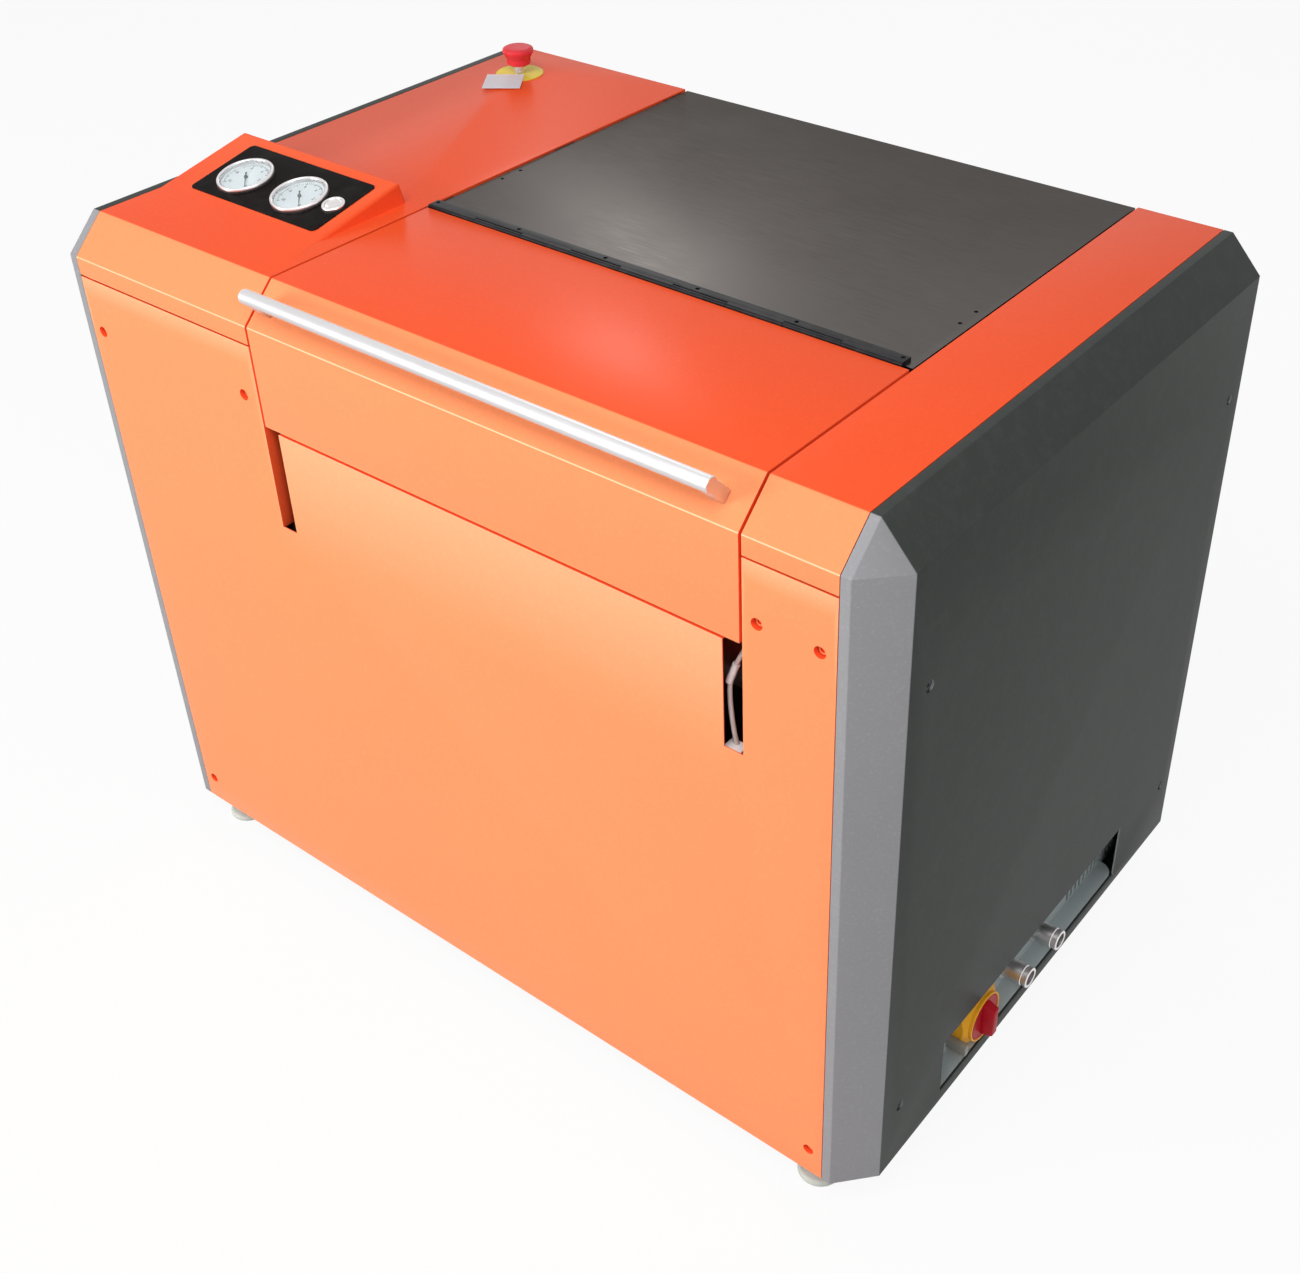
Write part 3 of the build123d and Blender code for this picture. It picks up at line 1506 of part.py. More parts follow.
def air_hoses():
    """Vacuum hose to the rotary union and air hose to the valve block."""
    stub_x = union_x0 + union_length / 2
    stub_z = drum_z - union_radius - union_stub_length
    elbow_x = service_back - elbow_drop_in
    elbow_z = port_z + elbow_rise
    y_vacuum, y_air = port_places
    upper, lower = vacuum_upper_bend, vacuum_lower_bend
    vacuum = smooth_tube(
        [
            (stub_x, drum_y, stub_z),
            (stub_x, drum_y, stub_z - vacuum_start),
            (stub_x + upper[0], drum_y + upper[1], stub_z - upper[2]),
            (elbow_x - lower[0], y_vacuum - lower[1], elbow_z + lower[2]),
            (elbow_x, y_vacuum, elbow_z + vacuum_end),
            (elbow_x, y_vacuum, elbow_z),
        ],
        vacuum_hose_radius,
    )
    valve_x = cheek_right_out + valve_width / 2
    lower, upper = air_lower_bend, air_upper_bend
    air = smooth_tube(
        [
            (elbow_x, y_air, elbow_z),
            (elbow_x, y_air, elbow_z + air_start),
            (elbow_x - lower[0], y_air - lower[1], elbow_z + lower[2]),
            (valve_x + upper[0], valve_y + upper[1], valve_bottom - upper[2]),
            (valve_x, valve_y, valve_bottom - air_end),
            (valve_x, valve_y, valve_bottom),
        ],
        air_hose_radius,
    )
    return Compound([vacuum, air])


def tray_box(x0, y1, size):
    """Box on the tray with its left side at x0 and its back at y1."""
    width, depth, height = size
    return block(x0, x0 + width, y1 - depth, y1, tray_top, tray_top + height)


def control_boxes():
    """Power supply, controller and laser source on the tray."""
    side = -frame_half + tube_size + box_side_gap
    inner_back = upright_rear - tube_size / 2
    supply_back = inner_back - box_back_gap
    supply = tray_box(side, supply_back, supply_box)
    control = tray_box(side, supply_back - supply_box[1] - box_between, control_box)
    laser = tray_box(cheek_left + laser_cheek_gap, inner_back - laser_back_gap, laser_box)
    return Compound([supply, control, laser])


pieces = {
    "front_panel": front_panel(),
    "left_top_cover": left_top_cover(),
    "right_top_cover": right_top_cover(),
    "left_side_panel": left_side_panel(),
    "right_side_panel": right_side_panel(),
    "back_panel": back_panel(),
    "steel_table": steel_table(),
    "hinge_strip": hinge_strip(),
    "hood_cover": hood_cover(),
    "hinge_leaf": hinge_leaf(),
    "hood_handle": hood_handle(),
    "hood_bumpers": hood_bumpers(),
    "console_fascia": console_fascia(),
    "gauge_cases": gauge_cases(),
    "gauge_dials": gauge_dials(),
    "gauge_lenses": gauge_lenses(),
    "left_needle": gauge_needle(gauge_places[0]),
    "right_needle": gauge_needle(gauge_places[1]),
    "button_bezel": button_bezel(),
    "push_button": push_button(),
    "stop_label": stop_label(),
    "stop_body": stop_body(),
    "stop_button": stop_button(),
    "tag_card": tag_card(),
    "machine_frame": Compound(lower_rails() + frame_uprights() + upper_rails() + service_brackets()),
    "base_tray": base_tray(),
    "foot_pads": foot_pads(),
    "foot_stems": foot_stems(),
    "panel_standoffs": panel_standoffs(),
    "panel_screws": Compound(panel_screws() + strip_screws()),
    "left_cheek": cheek(cheek_left_out),
    "right_cheek": cheek(cheek_right),
    "drum_shell": drum_shell(),
    "drum_shaft": drum_shaft(),
    "drum_bearings": drum_bearings(),
    "plate_clamps": plate_clamps(),
    "drum_pulley": flanged_pulley(drum_y, drum_z, pulley_radius, shaft_end_radius),
    "motor_pulley": motor_pulley(),
    "drive_belt": drive_belt(),
    "drive_motor": drive_motor(),
    "motor_bracket": motor_bracket(),
    "rotary_union": rotary_union(),
    "axis_bed": axis_bed(),
    "linear_rails": linear_rails(),
    "carriage": carriage(),
    "laser_head": laser_head(),
    "lead_screw": lead_screw(),
    "screw_bushes": screw_bushes(),
    "screw_motor": screw_motor(),
    "service_plate": service_plate(),
    "switch_housing": switch_housing(),
    "switch_knob": switch_knob(),
    "padlock_tab": padlock_tab(),
    "hose_ports": hose_ports(),
    "port_elbows": port_elbows(),
    "air_valves": air_valves(),
    "air_hoses": air_hoses(),
    "slot_hose": slot_hose(),
    "slot_hose_fittings": slot_hose_fittings(),
    "control_boxes": control_boxes(),
}

os.makedirs("parts", exist_ok=True)
for name, piece in pieces.items():
    placed = Pos(shift_x, shift_y, foot_height) * piece
    export_step(placed, "parts/" + name + ".step")
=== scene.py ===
"""Flexographic platesetter: finishes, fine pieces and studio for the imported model."""

import json
import math

import bmesh
import bpy
from bpy.props import FloatProperty, FloatVectorProperty, IntProperty, PointerProperty
from mathutils import Euler, Matrix, Vector


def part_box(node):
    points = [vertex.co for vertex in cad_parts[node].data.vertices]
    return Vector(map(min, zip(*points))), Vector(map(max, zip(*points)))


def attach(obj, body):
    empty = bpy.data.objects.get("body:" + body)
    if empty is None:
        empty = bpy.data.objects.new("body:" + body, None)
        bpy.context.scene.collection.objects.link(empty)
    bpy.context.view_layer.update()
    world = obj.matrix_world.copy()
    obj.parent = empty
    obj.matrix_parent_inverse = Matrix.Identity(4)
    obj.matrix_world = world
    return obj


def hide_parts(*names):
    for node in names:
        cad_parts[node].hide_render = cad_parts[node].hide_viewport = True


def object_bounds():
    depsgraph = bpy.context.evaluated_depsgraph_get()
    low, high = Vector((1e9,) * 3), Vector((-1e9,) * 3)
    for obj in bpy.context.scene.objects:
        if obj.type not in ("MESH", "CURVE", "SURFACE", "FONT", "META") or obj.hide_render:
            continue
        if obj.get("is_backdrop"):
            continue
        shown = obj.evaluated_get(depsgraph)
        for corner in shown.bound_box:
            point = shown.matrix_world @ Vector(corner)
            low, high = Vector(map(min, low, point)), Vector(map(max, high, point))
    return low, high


bl_info = {
    "name": "Flexographic platesetter",
    "version": (1, 0, 0),
    "blender": (4, 5, 0),
    "location": "View3D > Sidebar > Platesetter",
    "description": "Finishes, fine pieces and studio of a flexographic platesetter",
    "category": "Object",
}

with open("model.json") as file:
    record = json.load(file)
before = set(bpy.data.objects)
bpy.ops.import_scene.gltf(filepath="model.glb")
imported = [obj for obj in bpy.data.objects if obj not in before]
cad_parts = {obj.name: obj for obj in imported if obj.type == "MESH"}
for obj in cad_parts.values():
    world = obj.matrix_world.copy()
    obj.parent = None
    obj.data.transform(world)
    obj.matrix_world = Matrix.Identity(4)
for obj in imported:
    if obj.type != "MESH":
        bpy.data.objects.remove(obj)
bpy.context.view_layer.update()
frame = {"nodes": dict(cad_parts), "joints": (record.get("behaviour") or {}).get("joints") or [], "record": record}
NODES = frame["nodes"]
JOINTS = {joint["name"]: joint for joint in frame["joints"]}
SLOTS = {part["node"]: part["material_slot"] for part in frame["record"]["subparts"]}
BODY_OF = {node: body for body, nodes in frame["record"]["behaviour"]["bodies"].items() for node in nodes}

# The middle of the front panel's lower edge, which the camera and the lamps are measured from
FRONT_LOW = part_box("front_panel")[0]
HALF_PANEL = 0.4795
CASING = Vector((FRONT_LOW.x + HALF_PANEL, FRONT_LOW.y, FRONT_LOW.z))

# Sizes of the CAD pieces that new pieces stand for, in metres
DIAL_DROP = 0.0015
POST_WIDTH = 0.014
BAR_RADIUS = 0.0075
GRIP_REACH = 0.0125
PORT_FLANGE = 0.016
PORT_TAIL = 0.012
PAD_RADIUS = 0.024
SIDE_DEPTH = 0.03

# The photograph's width, focal length and middle in pixels, and the point that its lens looks at
PHOTO_WIDTH = 1300.0
PHOTO_FOCAL = 1709.7
PHOTO_MIDDLE = (650.0, 637.0)
PHOTO_AIM = (741.0, 567.7)
SENSOR = 36.0
FLOOR_REACH = 14.0


def colour(name, text, value):
    """Colour property of a finish."""
    return FloatVectorProperty(name=name, description=text, subtype="COLOR", size=3, min=0, max=1, default=value)


def length(name, text, value):
    """Length property in metres."""
    return FloatProperty(name=name, description=text, default=value, min=0, unit="LENGTH", precision=5)


class PLATESETTER_PG_finish(bpy.types.PropertyGroup):
    """Colours and grain of the finishes."""

    cover_top: colour("Cover top", "Orange of the faces that look up", (0.96, 0.102, 0.028))
    # Paler copy of the orange on faces that look forwards: painted light from the front
    cover_front_painted_light: colour("Cover front", "Paler orange of the faces that look forwards", (0.98, 0.302, 0.126))
    side_grey: colour("Side grey", "Dark grey of the side panels", (0.051, 0.057, 0.053))
    # Paler copy of the grey on bevels that look forwards: painted light from the front and painted sheen on the
    # corner facet
    side_bevel_painted_light: colour("Side bevel", "Paler grey of the bevels that look forwards", (0.31, 0.31, 0.325))
    steel: colour("Steel", "Brushed steel of the table", (0.136, 0.127, 0.122))
    service: colour("Service plate", "Pale grey of the service plate", (0.40, 0.45, 0.46))
    grain: FloatProperty(name="Grain", description="Grains of the powder coat per metre", default=900.0, min=1.0)


class PLATESETTER_PG_sizes(bpy.types.PropertyGroup):
    """Sizes of the fine pieces."""

    sheet_edge: length("Sheet edge", "Rounding of the cut sheet edges", 0.0005)
    block_edge: length("Block edge", "Rounding of machined and moulded blocks", 0.0009)
    card_edge: length("Card edge", "Rounding of the card's edges", 0.00015)
    tick: length("Tick", "Length of the long ticks on the dials", 0.0034)
    digit: length("Digit", "Height of the numbers on the dials", 0.0052)
    turned_steps: IntProperty(name="Turned steps", description="Faces round a turned piece", default=72, min=12)
    ribs: IntProperty(name="Ribs", description="Grip ribs round the stop button", default=24, min=3)


def finish():
    return bpy.context.scene.platesetter_finish


def sizes():
    return bpy.context.scene.platesetter_sizes


# Node building


def add(tree, kind, settings=None, inputs=None):
    """One shader node with its settings, and its inputs linked or set."""
    made = tree.nodes.new(kind)
    for name, value in (settings or {}).items():
        setattr(made, name, value)
    for name, value in (inputs or {}).items():
        put(tree, made.inputs[name], value)
    return made


def put(tree, socket, value):
    """Links a socket to the input, or sets the input's value."""
    if isinstance(value, bpy.types.NodeSocket):
        tree.links.new(value, socket)
    elif isinstance(value, (tuple, list)) and len(value) == 3 and socket.type == "RGBA":
        socket.default_value = (*value, 1.0)
    else:
        socket.default_value = value


def blend_colour(tree, factor, first, second):
    """Colour between two colours."""
    made = tree.nodes.new("ShaderNodeMix")
    made.data_type = "RGBA"
    put(tree, made.inputs[0], factor)
    put(tree, made.inputs[6], first)
    put(tree, made.inputs[7], second)
    return made.outputs[2]


def work_out(tree, operation, first, second=0.0, third=0.0):
    """Result of one sum on the values."""
    made = tree.nodes.new("ShaderNodeMath")
    made.operation = operation
    for socket, value in zip(made.inputs, (first, second, third)):
        put(tree, socket, value)
    return made.outputs[0]


def spread(tree, value, low, high, out_low, out_high):
    """Value moved from one range to another, held at the ends."""
    made = add(tree, "ShaderNodeMapRange", {"clamp": True}, {"Value": value})
    for name, number in (("From Min", low), ("From Max", high), ("To Min", out_low), ("To Max", out_high)):
        put(tree, made.inputs[name], number)
    return made.outputs[0]


def speckle(tree, place, scale, detail=2.0, roughness=0.5):
    """Noise value at a place."""
    made = add(
        tree,
        "ShaderNodeTexNoise",
        inputs={"Vector": place, "Scale": scale, "Detail": detail, "Roughness": roughness},
    )
    return made.outputs[0]


def stretched(tree, factors):
    """Object coordinates stretched along the axes."""
    place = add(tree, "ShaderNodeTexCoord").outputs["Object"]
    return add(tree, "ShaderNodeVectorMath", {"operation": "MULTIPLY"}, {0: place, 1: factors}).outputs[0]


def new_group(name, inputs, outputs):
    """Shader node group with named inputs and outputs."""
    tree = bpy.data.node_groups.new(name, "ShaderNodeTree")
    for label, kind, value in inputs:
        socket = tree.interface.new_socket(label, in_out="INPUT", socket_type=kind)
        socket.default_value = value
    for label, kind in outputs:
        tree.interface.new_socket(label, in_out="OUTPUT", socket_type=kind)
    return tree, tree.nodes.new("NodeGroupInput").outputs, tree.nodes.new("NodeGroupOutput").inputs


FLOAT = "NodeSocketFloat"
COLOUR = "NodeSocketColor"


def facing_light_group():
    """Painted light: colour that changes from the plain colour on faces that look up to a paler lit copy on faces
    that look forwards, with a painted highlight where the sheet is bent between them.
    """
    tree, given, out = new_group(
        "painted facing light",
        [("Up", COLOUR, (1, 1, 1, 1)), ("Forward", COLOUR, (1, 1, 1, 1)), ("Bend", COLOUR, (1, 1, 1, 1))],
        [("Color", COLOUR)],
    )
    normal = add(tree, "ShaderNodeTexCoord").outputs["Normal"]
    parts = add(tree, "ShaderNodeSeparateXYZ", inputs={0: normal})
    ahead = work_out(tree, "MULTIPLY", parts.outputs["Y"], -1.0)
    # Painted light: share of the paler lit copy, rising as a face looks forwards
    lit_forward = spread(tree, ahead, 0.12, 0.60, 0.0, 1.0)
    flat = blend_colour(tree, lit_forward, given["Up"], given["Forward"])
    # Painted highlight band on the bends between the slopes and the faces that look forwards
    rising = spread(tree, parts.outputs["Z"], 0.08, 0.22, 0.0, 1.0)
    falling = spread(tree, parts.outputs["Z"], 0.45, 0.62, 1.0, 0.0)
    steep = spread(tree, ahead, 0.55, 0.70, 0.0, 0.8)
    bend_highlight_mask = work_out(tree, "MULTIPLY", work_out(tree, "MULTIPLY", rising, falling), steep)
    tree.links.new(blend_colour(tree, bend_highlight_mask, flat, given["Bend"]), out["Color"])
    return tree


def drift_group():
    """Slow cloudy change of tone and gloss, as handled and dusted paint has."""
    tree, given, out = new_group(
        "drift",
        [("Color", COLOUR, (1, 1, 1, 1)), ("Amount", FLOAT, 0.06), ("Scale", FLOAT, 3.0), ("Gloss", FLOAT, 0.4)],
        [("Color", COLOUR), ("Roughness", FLOAT)],
    )
    place = add(tree, "ShaderNodeTexCoord").outputs["Object"]
    cloud = speckle(tree, place, given["Scale"], 3.0, 0.55)
    dust = spread(tree, speckle(tree, place, 55.0, 4.0, 0.6), 0.45, 0.75, 0.0, 0.6)
    shade = spread(tree, cloud, 0.3, 0.7, -1.0, 1.0)
    amount = work_out(tree, "MULTIPLY", shade, given["Amount"])
    factor = work_out(tree, "ADD", amount, 1.0)
    tint = add(tree, "ShaderNodeVectorMath", {"operation": "SCALE"}, {0: given["Color"], "Scale": factor})
    dusty = work_out(tree, "MULTIPLY", dust, given["Amount"])
    tree.links.new(blend_colour(tree, dusty, tint.outputs[0], (0.55, 0.52, 0.50)), out["Color"])
    swing = work_out(tree, "MULTIPLY_ADD", shade, 0.02, given["Gloss"])
    tree.links.new(work_out(tree, "MULTIPLY_ADD", dust, 0.03, swing), out["Roughness"])
    return tree


def grain_group():
    """Fine orange-peel grain of powder coat, as a height and a fleck mask."""
    tree, given, out = new_group(
        "powder grain",
        [("Scale", FLOAT, 900.0), ("Depth", FLOAT, 1.0)],
        [("Height", FLOAT), ("Fleck", FLOAT)],
    )
    place = add(tree, "ShaderNodeTexCoord").outputs["Object"]
    fine = speckle(tree, place, given["Scale"], 2.0, 0.6)
    coarse = speckle(tree, place, work_out(tree, "MULTIPLY", given["Scale"], 0.33), 1.0, 0.5)
    both = work_out(tree, "MULTIPLY_ADD", coarse, 0.6, work_out(tree, "MULTIPLY", fine, 0.4))
    tree.links.new(work_out(tree, "MULTIPLY", both, given["Depth"]), out["Height"])
    tree.links.new(spread(tree, both, 0.53, 0.66, 0.0, 1.0), out["Fleck"])
    return tree


def brushed_group():
    """Fine parallel lines of ground or brushed metal."""
    tree, given, out = new_group(
        "brushed lines",
        [
            ("Color", COLOUR, (0.5, 0.5, 0.5, 1)),
            ("Stretch", "NodeSocketVector", (1.0, 1.0, 1.0)),
            ("Scale", FLOAT, 400.0),
            ("Contrast", FLOAT, 0.12),
            ("Gloss", FLOAT, 0.3),
        ],
        [("Color", COLOUR), ("Roughness", FLOAT), ("Height", FLOAT)],
    )
    place = add(tree, "ShaderNodeTexCoord").outputs["Object"]
    drawn = add(tree, "ShaderNodeVectorMath", {"operation": "MULTIPLY"}, {0: place, 1: given["Stretch"]})
    lines = speckle(tree, drawn.outputs[0], given["Scale"], 3.0, 0.6)
    swing = spread(tree, lines, 0.3, 0.7, -1.0, 1.0)
    factor = work_out(tree, "MULTIPLY_ADD", swing, given["Contrast"], 1.0)
    smear = spread(tree, speckle(tree, place, 6.0, 3.0, 0.6), 0.35, 0.7, -0.02, 0.025)
    toned = work_out(tree, "ADD", factor, smear)
    tint = add(tree, "ShaderNodeVectorMath", {"operation": "SCALE"}, {0: given["Color"], "Scale": toned})
    tree.links.new(tint.outputs[0], out["Color"])
    rough = work_out(tree, "MULTIPLY_ADD", swing, 0.05, given["Gloss"])
    tree.links.new(work_out(tree, "ADD", rough, smear), out["Roughness"])
    tree.links.new(lines, out["Height"])
    return tree


GROUPS = {}


def group(tree, name, inputs):
    """Places a shared group in a material with its own values."""
    made = tree.nodes.new("ShaderNodeGroup")
    made.node_tree = GROUPS[name]
    for label, value in inputs.items():
        put(tree, made.inputs[label], value)
    return made.outputs


def new_material(name, **constants):
    """Empty material with its shader, constants set on the shader's own sockets."""
    made = bpy.data.materials.new(name)
    made.use_nodes = True
    tree = made.node_tree
    shader = tree.nodes["Principled BSDF"]
    for label, value in constants.items():
        put(tree, shader.inputs[label.replace("_", " ")], value)
    return made, tree, shader


def bump(tree, shader, height, strength, distance):
    """Feeds a height to the shader's normal."""
    made = add(tree, "ShaderNodeBump", inputs={"Strength": strength, "Distance": distance, "Height": height})
    tree.links.new(made.outputs[0], shader.inputs["Normal"])


def powder(name, up, lit_forward, gloss, amount=0.05, shine=0.5, flecks=0.25, depth=0.25, bend_highlight=None):
    """Powder-coated sheet, with painted light: a paler lit copy on faces that look forwards and a painted highlight
    on the bends.
    """
    made, tree, shader = new_material(name, Specular_IOR_Level=shine)
    # Painted light: lit copy on the forward faces, painted highlight on the bends
    tone = group(tree, "facing", {"Up": up, "Forward": lit_forward, "Bend": bend_highlight or lit_forward})["Color"]
    drift = group(tree, "drift", {"Color": tone, "Amount": amount, "Gloss": gloss})
    grain = group(tree, "grain", {"Scale": finish().grain, "Depth": 1.0})
    paler = add(tree, "ShaderNodeVectorMath", {"operation": "SCALE"}, {0: drift["Color"], "Scale": 1.22})
    fleck = work_out(tree, "MULTIPLY", grain["Fleck"], flecks)
    tree.links.new(blend_colour(tree, fleck, drift["Color"], paler.outputs[0]), shader.inputs["Base Color"])
    tree.links.new(drift["Roughness"], shader.inputs["Roughness"])
    bump(tree, shader, grain["Height"], depth, 0.0004)
    return made


def metal(name, tone, gloss, stretch=(1.0, 60.0, 60.0), scale=30.0, contrast=0.12, depth=0.05, rim=(1.0, 1.0, 1.0)):
    """Brushed, ground or turned metal."""
    made, tree, shader = new_material(name, Metallic=1.0, Specular_Tint=rim)
    given = {"Color": tone, "Stretch": stretch, "Scale": scale, "Contrast": contrast, "Gloss": gloss}
    lines = group(tree, "brushed", given)
    tree.links.new(lines["Color"], shader.inputs["Base Color"])
    tree.links.new(lines["Roughness"], shader.inputs["Roughness"])
    bump(tree, shader, lines["Height"], depth, 0.0002)
    return made


def plastic(name, tone, gloss, amount=0.06, grain=1500.0, depth=0.12, coat=0.0, shine=0.5):
    """Moulded plastic, rubber or plain paint with a fine skin."""
    made, tree, shader = new_material(name, Coat_Weight=coat, Coat_Roughness=0.1, Specular_IOR_Level=shine)
    drift = group(tree, "drift", {"Color": tone, "Amount": amount, "Scale": 18.0, "Gloss": gloss})
    skin = group(tree, "grain", {"Scale": grain, "Depth": 1.0})
    tree.links.new(drift["Color"], shader.inputs["Base Color"])
    tree.links.new(drift["Roughness"], shader.inputs["Roughness"])
    bump(tree, shader, skin["Height"], depth, 0.0002)
    return made


def lens_glass(name):
    """Thin clear glass of the gauges."""
    made, tree, shader = new_material(name, Base_Color=(0.97, 0.99, 0.99), Metallic=0.0, IOR=1.3)
    shader.inputs["Transmission Weight"].default_value = 1.0
    smear = spread(tree, speckle(tree, stretched(tree, (1.0, 1.0, 1.0)), 60.0), 0.4, 0.7, 0.02, 0.07)
    tree.links.new(smear, shader.inputs["Roughness"])
    return made


MATERIALS = {}


def make_materials():
    """One material for each slot of the record."""
    GROUPS.update(facing=facing_light_group(), drift=drift_group(), grain=grain_group(), brushed=brushed_group())
    shades = finish()
    # The up colours are the paints; the forward colours are paler copies that paint the front light
    top, front = tuple(shades.cover_top), tuple(shades.cover_front_painted_light)
    grey, bevel = tuple(shades.side_grey), tuple(shades.side_bevel_painted_light)
    along_x, along_z = (1.0, 60.0, 60.0), (60.0, 60.0, 1.0)
    MATERIALS.update(
        # Orange coat: the forward colour is a painted-light copy and the last colour a painted highlight along the
        # bends
        orange_paint=powder("orange powder coat", top, front, 0.24, 0.012, 0.035, 0.3, 0.30, (1.0, 0.66, 0.40)),
        # Grey coat: the bevel colour is a painted-light copy, also standing in for the sheen on the corner facet
        grey_paint=powder("grey powder coat", grey, bevel, 0.36, 0.03, 0.03, 0.4, 0.35),
        table_steel=metal(
            "table steel",
            tuple(shades.steel),
            0.33,
            stretch=(1.0, 45.0, 45.0),
            scale=26.0,
            contrast=0.07,
            depth=0.0,
            rim=(0.4, 0.39, 0.38),
        ),
        black_metal=plastic("blackened strip", (0.008, 0.008, 0.010), 0.42, shine=0.15),
        black_plastic=plastic("fascia black", (0.007, 0.005, 0.005), 0.5, 0.03, shine=0.03),
        black_rubber=plastic("rubber", (0.02, 0.02, 0.02), 0.75, 0.2, 700.0, 0.3),
        satin_aluminium=metal("satin aluminium", (0.70, 0.69, 0.70), 0.40, along_x, 60.0, 0.05),
        chrome_plate=metal("chrome plate", (0.74, 0.71, 0.71), 0.30, (1.0, 1.0, 1.0), 25.0, 0.05, 0.02),
        machined_steel=metal("machined steel", (0.42, 0.42, 0.43), 0.36, along_z, 40.0),
        bearing_steel=metal("ground steel", (0.52, 0.52, 0.53), 0.22, (60.0, 1.0, 1.0), 40.0),
        brass=metal("brass", (0.62, 0.43, 0.16), 0.28, along_x, 60.0),
        dial_white=plastic("dial card", (0.68, 0.73, 0.76), 0.55, 0.04, 400.0, 0.05),
        needle_black=plastic("needle black", (0.01, 0.01, 0.01), 0.4),
        clear_glass=lens_glass("gauge glass"),
        stop_yellow=plastic("label yellow", (0.74, 0.60, 0.04), 0.45, 0.15, 300.0, 0.05, shine=0.2),
        stop_red=plastic("stop red", (0.74, 0.036, 0.048), 0.45, 0.05, shine=0.2),
        switch_yellow=plastic("switch yellow", (0.94, 0.44, 0.020), 0.42, 0.05, shine=0.15),
        switch_red=plastic("switch red", (0.46, 0.006, 0.018), 0.42, 0.04, shine=0.12),
        card_grey=plastic("card", (0.66, 0.64, 0.67), 0.6, 0.05, 500.0, 0.1),
        frame_paint=plastic("frame paint", (0.030, 0.033, 0.036), 0.5, 0.12, 900.0, 0.25),
        zinc_steel=metal("zinc plate", (0.46, 0.46, 0.45), 0.38, (1.0, 1.0, 1.0), 120.0, 0.2),
        foot_white=plastic("foot pad", (0.60, 0.64, 0.58), 0.5, 0.1, 500.0, 0.2),
        screw_black=metal("blackened screw", (0.06, 0.06, 0.06), 0.32, (1.0, 1.0, 1.0), 300.0, 0.2),
        plate_grey=powder("service plate paint", tuple(shades.service), tuple(shades.service), 0.4, 0.05),
        white_plastic=plastic("white plastic", (0.86, 0.85, 0.84), 0.42, 0.05),
        hose_grey=plastic("thin hose", (0.66, 0.61, 0.58), 0.35, 0.08, 900.0, 0.1),
        hose_black=plastic("hose rubber", (0.018, 0.018, 0.018), 0.5, 0.15, 800.0, 0.2),
        motor_black=plastic("motor black", (0.02, 0.02, 0.022), 0.42, 0.1),
        box_grey=powder("box paint", (0.30, 0.31, 0.30), (0.30, 0.31, 0.30), 0.45, 0.08),
        laser_white=powder("head paint", (0.55, 0.55, 0.53), (0.55, 0.55, 0.53), 0.4, 0.05),
        valve_blue=plastic("valve body", (0.04, 0.05, 0.07), 0.42, 0.08),
        tab_grey=plastic("tab grey", (0.27, 0.25, 0.22), 0.45, 0.08),
    )


# Mesh building


def settle(mesh, angle=35.0):
    """Smooth shading with edges sharper than the angle left crisp."""
    if "custom_normal" in mesh.attributes:
        mesh.attributes.remove(mesh.attributes["custom_normal"])
    mesh.shade_smooth()
    mesh.set_sharp_from_angle(angle=math.radians(angle))


def piece_of(name, work, body, slot, stands_for=(), angle=35.0):
    """New piece from a bmesh: it rides on a body and takes its finish from a slot."""
    mesh = bpy.data.meshes.new(name)
    bmesh.ops.recalc_face_normals(work, faces=work.faces)
    work.to_mesh(mesh)
    work.free()
    settle(mesh, angle)
    mesh.materials.append(MATERIALS[slot])
    piece = bpy.data.objects.new(name, mesh)
    bpy.context.scene.collection.objects.link(piece)
    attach(piece, body)
    if stands_for:
        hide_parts(*stands_for)
    return piece


def soften(work, width, longest=0.0, segments=2, angle=28.0):
    """Rounds the sharp edges of a bmesh that are longer than the given length."""
    bmesh.ops.remove_doubles(work, verts=work.verts, dist=0.000002)
    bmesh.ops.dissolve_limit(
        work,
        angle_limit=math.radians(0.6),
        use_dissolve_boundaries=False,
        verts=work.verts,
        edges=work.edges,
    )
    limit = math.radians(angle)
    sharp = [
        edge
        for edge in work.edges
        if len(edge.link_faces) == 2 and edge.calc_face_angle(0.0) > limit and edge.calc_length() > longest
    ]
    if sharp:
        bmesh.ops.bevel(
            work,
            geom=sharp,
            offset=width,
            offset_type="OFFSET",
            segments=segments,
            profile=0.6,
            affect="EDGES",
            clamp_overlap=False,
        )


def soft_copy(node, width, longest=0.006, segments=2):
    """Copy of a CAD piece with soft edges, which stands for it."""
    work = bmesh.new()
    work.from_mesh(NODES[node].data)
    soften(work, width, longest, segments)
    return piece_of(node + "_soft", work, BODY_OF[node], SLOTS[node], (node,))


def dress(node):
    """Gives a CAD piece the finish of its slot."""
    data = NODES[node].data
    data.materials.clear()
    data.materials.append(MATERIALS[SLOTS[node]])


def turned(work, profile, place, steps=None):
    """Adds a turned shape to a bmesh: its profile is radius and height pairs round the place's Z."""
    count = steps or sizes().turned_steps
    rings = []
    for radius, height in profile:
        if radius <= 0:
            rings.append([work.verts.new(place @ Vector((0, 0, height)))] * count)
            continue
        ring = []
        for step in range(count):
            turn = 2 * math.pi * step / count
            spot = Vector((radius * math.cos(turn), radius * math.sin(turn), height))
            ring.append(work.verts.new(place @ spot))
        rings.append(ring)
    for low, high in zip(rings, rings[1:]):
        for step in range(count):
            after = (step + 1) % count
            corners = [low[step], low[after], high[after], high[step]]
            corners = [corner for index, corner in enumerate(corners) if corner not in corners[:index]]
            if len(corners) > 2:
                work.faces.new(corners)


